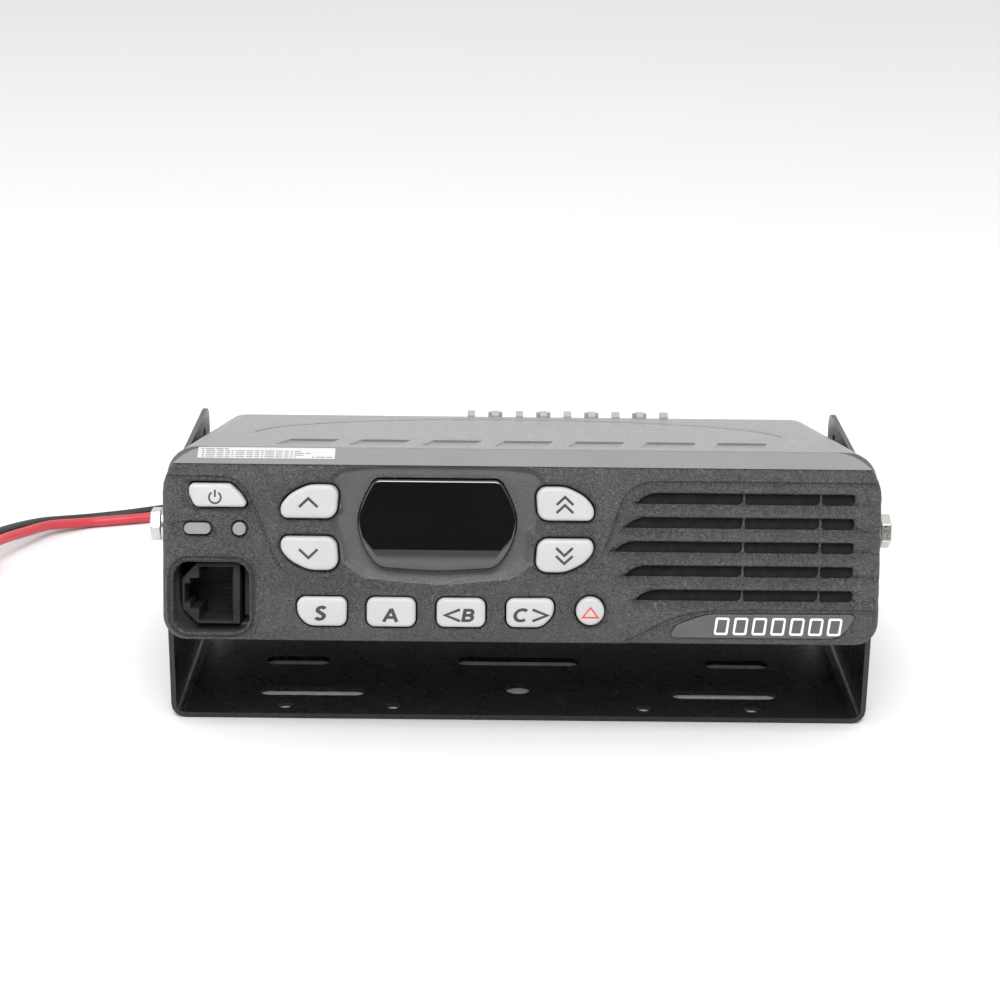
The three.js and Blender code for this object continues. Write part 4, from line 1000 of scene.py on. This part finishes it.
def addWindow():
    loop = divided(windowLoop, 0.9)

    def top(points):
        y = windowForm["crown"] + (points[:, 1] - windowForm["middle"]) ** 2 / (2 * windowForm["bend"])
        y += (points[:, 0] - windowMiddle) ** 2 / (2 * windowForm["sideBend"])
        return surface(points, y + roundOver(windowForm["edge"], inward(points, loop)))

    rows = [insetLoop(loop, g) for g in (0.05, 0.15, 0.3, 0.5)]
    vertices, faces, _ = makeShell([loop], rows, [], 1.2, top, flatAt(windowForm["foot"]), (), 0.5)
    addPiece("displayWindow", "display_window", "radio", vertices, faces, [windowPlastic])


addWindow()
print("window set in")


coverRelief = {  # an arched groove and a row of shallow slanted recesses
    "grooveWidth": 0.9, "grooveDepth": 0.9, "archMiddle": (-0.6, 41.5), "archHalf": (63.6, 47.6),
    "recessDepth": 0.4, "recesses": 7, "middle": 0.5, "front": 13, "back": 27, "pitch": 16.6, "width": 11.5,
    "slant": 1.2,
}


def shapeCover(shaped):
    form = coverRelief
    up = setTilt @ Vector((0, 0, 1))
    top = max((f for f in shaped.faces if f.normal.dot(up) > 0.999), key=lambda f: f.calc_area())
    corners = list(top.verts)
    bolt = Vector((0, setPlace["boltBack"], setPlace["boltHeight"]))
    flat = [setTilt.transposed() @ (v.co * 1000 - pivot) + bolt for v in corners]
    level = flat[0].z
    outline = [(p.x, p.y) for p in flat]
    (archX, archY), (archWide, archDeep) = form["archMiddle"], form["archHalf"]
    angles = [math.radians(178 - 176 * k / 90) for k in range(91)]
    curve = [(archX + archWide * math.cos(a), archY + archDeep * math.sin(a)) for a in angles]
    half = form["grooveWidth"] / 2
    recesses, loops = [], []
    for k in range(form["recesses"]):
        x = form["middle"] + (k - 3) * form["pitch"]
        w, slant = form["width"] / 2, form["slant"]
        front, back = form["front"], form["back"]
        recess = [(x - w - slant, front), (x + w - slant, front), (x + w + slant, back), (x - w + slant, back)]
        recesses.append(recess)
        loops += [divided(recess, 4), divided(insetLoop(recess, 0.12), 4)]
    lines = [offsetLine(curve, side * half) for side in (-1, -0.55, 0.55, 1)]
    loose = hexagons(outline, 6, [outline] + lines + loops, 2)
    plan, found, originals = triangulate([outline] + loops, lines, loose)
    faces, _ = facesOf(plan, found, [outline])
    drop = 1 - ease(half * 0.5, half, distance(plan, curve, False))
    drop *= form["grooveDepth"] * ease(42, 50, plan[:, 1])
    for recess in recesses:
        drop += form["recessDepth"] * ease(0, 0.12, inward(plan, recess))
    own = {k: corners[o] for k, group in enumerate(originals) for o in group if o < len(corners)}
    bmesh.ops.delete(shaped, geom=[top], context="FACES_ONLY")
    vertices = {}
    for face in faces:
        for v in face:
            if v not in vertices:
                place = inSet((plan[v][0], plan[v][1], level - drop[v]))
                vertices[v] = own.get(v) or shaped.verts.new(place)
    for face in faces:
        shaped.faces.new([vertices[v] for v in face])
    bmesh.ops.recalc_face_normals(shaped, faces=shaped.faces)


refine("top_cover", coverPaint, 0.3, reshape=shapeCover)
print("top cover shaped")


labelForm = {  # on the sloping band; rows: row, start and stop of each run of marks
    "left": -72.25, "right": -41.75, "start": 1.75, "end": 5.12, "lift": 0.06, "pitch": 0.6, "tall": 0.26,
    "rows": ((0, 0.7, 6.5), (1, 0.9, 22.5), (2, 0.9, 24.8), (3, 0.9, 23.4), (4, 0.9, 21.6), (4, 25.4, 29.6)),
}
bandBack, bandUp = 0.7744, 0.6328  # the band's direction


def onBand(point):  # x, height over the band, distance up the band
    x, lift, up = point
    back = panelShape["browDepth"] + up * bandBack - lift * bandUp
    return inSet((x, back, panelShape["browStart"] + up * bandUp + lift * bandBack))


def addLabel():
    f = labelForm
    loop = divided(rounded(box(f["left"], f["right"], f["start"], f["end"], 0.2)), 2)
    marks = []
    for row, start, stop in f["rows"]:
        x = f["left"] + start
        k = row
        while x < f["left"] + stop:
            width = 0.55 + 0.5 * ((k * 7 + row * 5) % 4)
            low = f["end"] - 0.62 - row * f["pitch"]
            marks.append(rounded(box(x, min(x + width, f["left"] + stop + 0.3), low, low + f["tall"])))
            x += width + 0.34
            k += 1
    vertices, faces, middles = makeShell([loop], marks, [], None, flatAt(f["lift"]), flatAt(-0.1))
    inks = within(middles, marks).astype(int)
    addPiece("blankLabel", "rating_label", "radio", vertices, faces, [labelPaper, greyPrint], inks, 30, onBand)


addLabel()

badgeForm = {
    "front": 0.62, "round": 0.2, "back": 2.2, "low": 2.35, "high": 6.3, "width": 0.5, "half": 1.55,
    "marks": 7, "first": 44.8, "pitch": 4.2,
}


def slantBox(x, z, half, rise, grow):
    lean, radius = 0.12 * rise, 0.5 + grow / 2
    wide, low, high = half + grow, z - rise - grow, z + rise + grow
    return [
        (x - wide - lean, low, radius), (x + wide - lean, low, radius),
        (x + wide + lean, high, radius), (x - wide + lean, high, radius),
    ]


def addBadge():
    f = badgeForm
    loop = divided(rounded(badgeShape, -0.12), 1.5)
    middle, rise = (f["low"] + f["high"]) / 2, (f["high"] - f["low"]) / 2
    marks = []
    for k in range(f["marks"]):
        x = f["first"] + k * f["pitch"]
        marks.append([rounded(slantBox(x, middle, f["half"], rise, grow)) for grow in (0, -f["width"])])

    def top(points):
        return surface(points, f["front"] + roundOver(f["round"], inward(points, loop)))

    rows = [insetLoop(loop, g) for g in (0.08, 0.2)] + [line for mark in marks for line in mark]
    vertices, faces, middles = makeShell([loop], rows, [], 1.5, top, flatAt(f["back"]), (), 0.5)
    inks = np.zeros(len(middles), int)
    for mark in marks:
        inks[within(middles, mark)] = 1
    addPiece("badgePlate", "badge_plate", "radio", vertices, faces, [badgeFilm, whitePrint], inks)


addBadge()
print("label and badge made")

socketForm = {
    "front": 2.9, "back": 18.8, "round": 0.22, "pins": 8, "pinPitch": 1.02, "pinHalf": 0.2, "middle": 10.2,
}


def addPrism(vertices, faces, section, low, high):  # section: (across, back) corners
    base, count = len(vertices), len(section)
    for x, y in section:
        vertices += [(x, y, low), (x, y, high)]
    ends = [(base + 2 * j, base + 2 * ((j + 1) % count)) for j in range(count)]
    faces += [tuple(a for a, _ in ends), tuple(a + 1 for a, _ in reversed(ends))]
    faces += [(a, a + 1, b + 1, b) for a, b in ends]


def addSocket():
    f = socketForm
    loop = [(-75.9, 6.8), (-72.5, 3.35), (-62.9, 3.35), (-62.9, 17.3), (-72.5, 17.3), (-75.9, 13.5)]
    hole = [
        (-72.1, 4.15), (-64.55, 4.15), (-64.55, 16.2), (-72.1, 16.2), (-72.1, 13.6), (-74.1, 13.6),
        (-74.1, 12.4), (-75.3, 12.4), (-75.3, 8.1), (-74.1, 8.1), (-74.1, 6.85), (-72.1, 6.85),
    ]

    def top(points):
        edge = np.minimum(inward(points, loop), -inward(points, hole))
        return surface(points, f["front"] + roundOver(f["round"], edge))

    rows = [insetLoop(line, g * way) for line, way in ((loop, 1), (hole, -1)) for g in (0.1, 0.22)]
    vertices, faces, _ = makeShell([loop, hole], rows, [], 1.5, top, flatAt(f["back"]), (), 0.5)
    contact = [(-64.9, 4.5), (-64.6, 4.5), (-64.6, 14.0), (-67.2, 14.0), (-67.2, 13.7), (-64.9, 13.7)]
    for k in range(f["pins"]):
        z = f["middle"] + (k - 3.5) * f["pinPitch"]
        addPrism(vertices, faces, contact, z - f["pinHalf"], z + f["pinHalf"])
    closedRear = [(-76, 16.8), (-62.9, 16.8), (-62.9, 18.9), (-76, 18.9)]
    addPrism(vertices, faces, closedRear, 3.3, 17.4)
    addPiece("microphoneSocket", "mic_jack", "radio", vertices, faces, [jackPlastic], None, 35)


addSocket()

clothForm = {"left": 20.3, "right": 75.2, "low": 6.2, "high": 35.4, "front": 2.45, "back": 2.65}


def addCloth():
    f = clothForm
    loop = divided(rounded(box(f["left"], f["right"], f["low"], f["high"], 2)), 3)
    vertices, faces, _ = makeShell([loop], [], [], 3, flatAt(f["front"]), flatAt(f["back"]), (), 1.5)
    addPiece("dustCloth", "speaker_felt", "radio", vertices, faces, [dustCloth])


addCloth()
print("socket and cloth made")
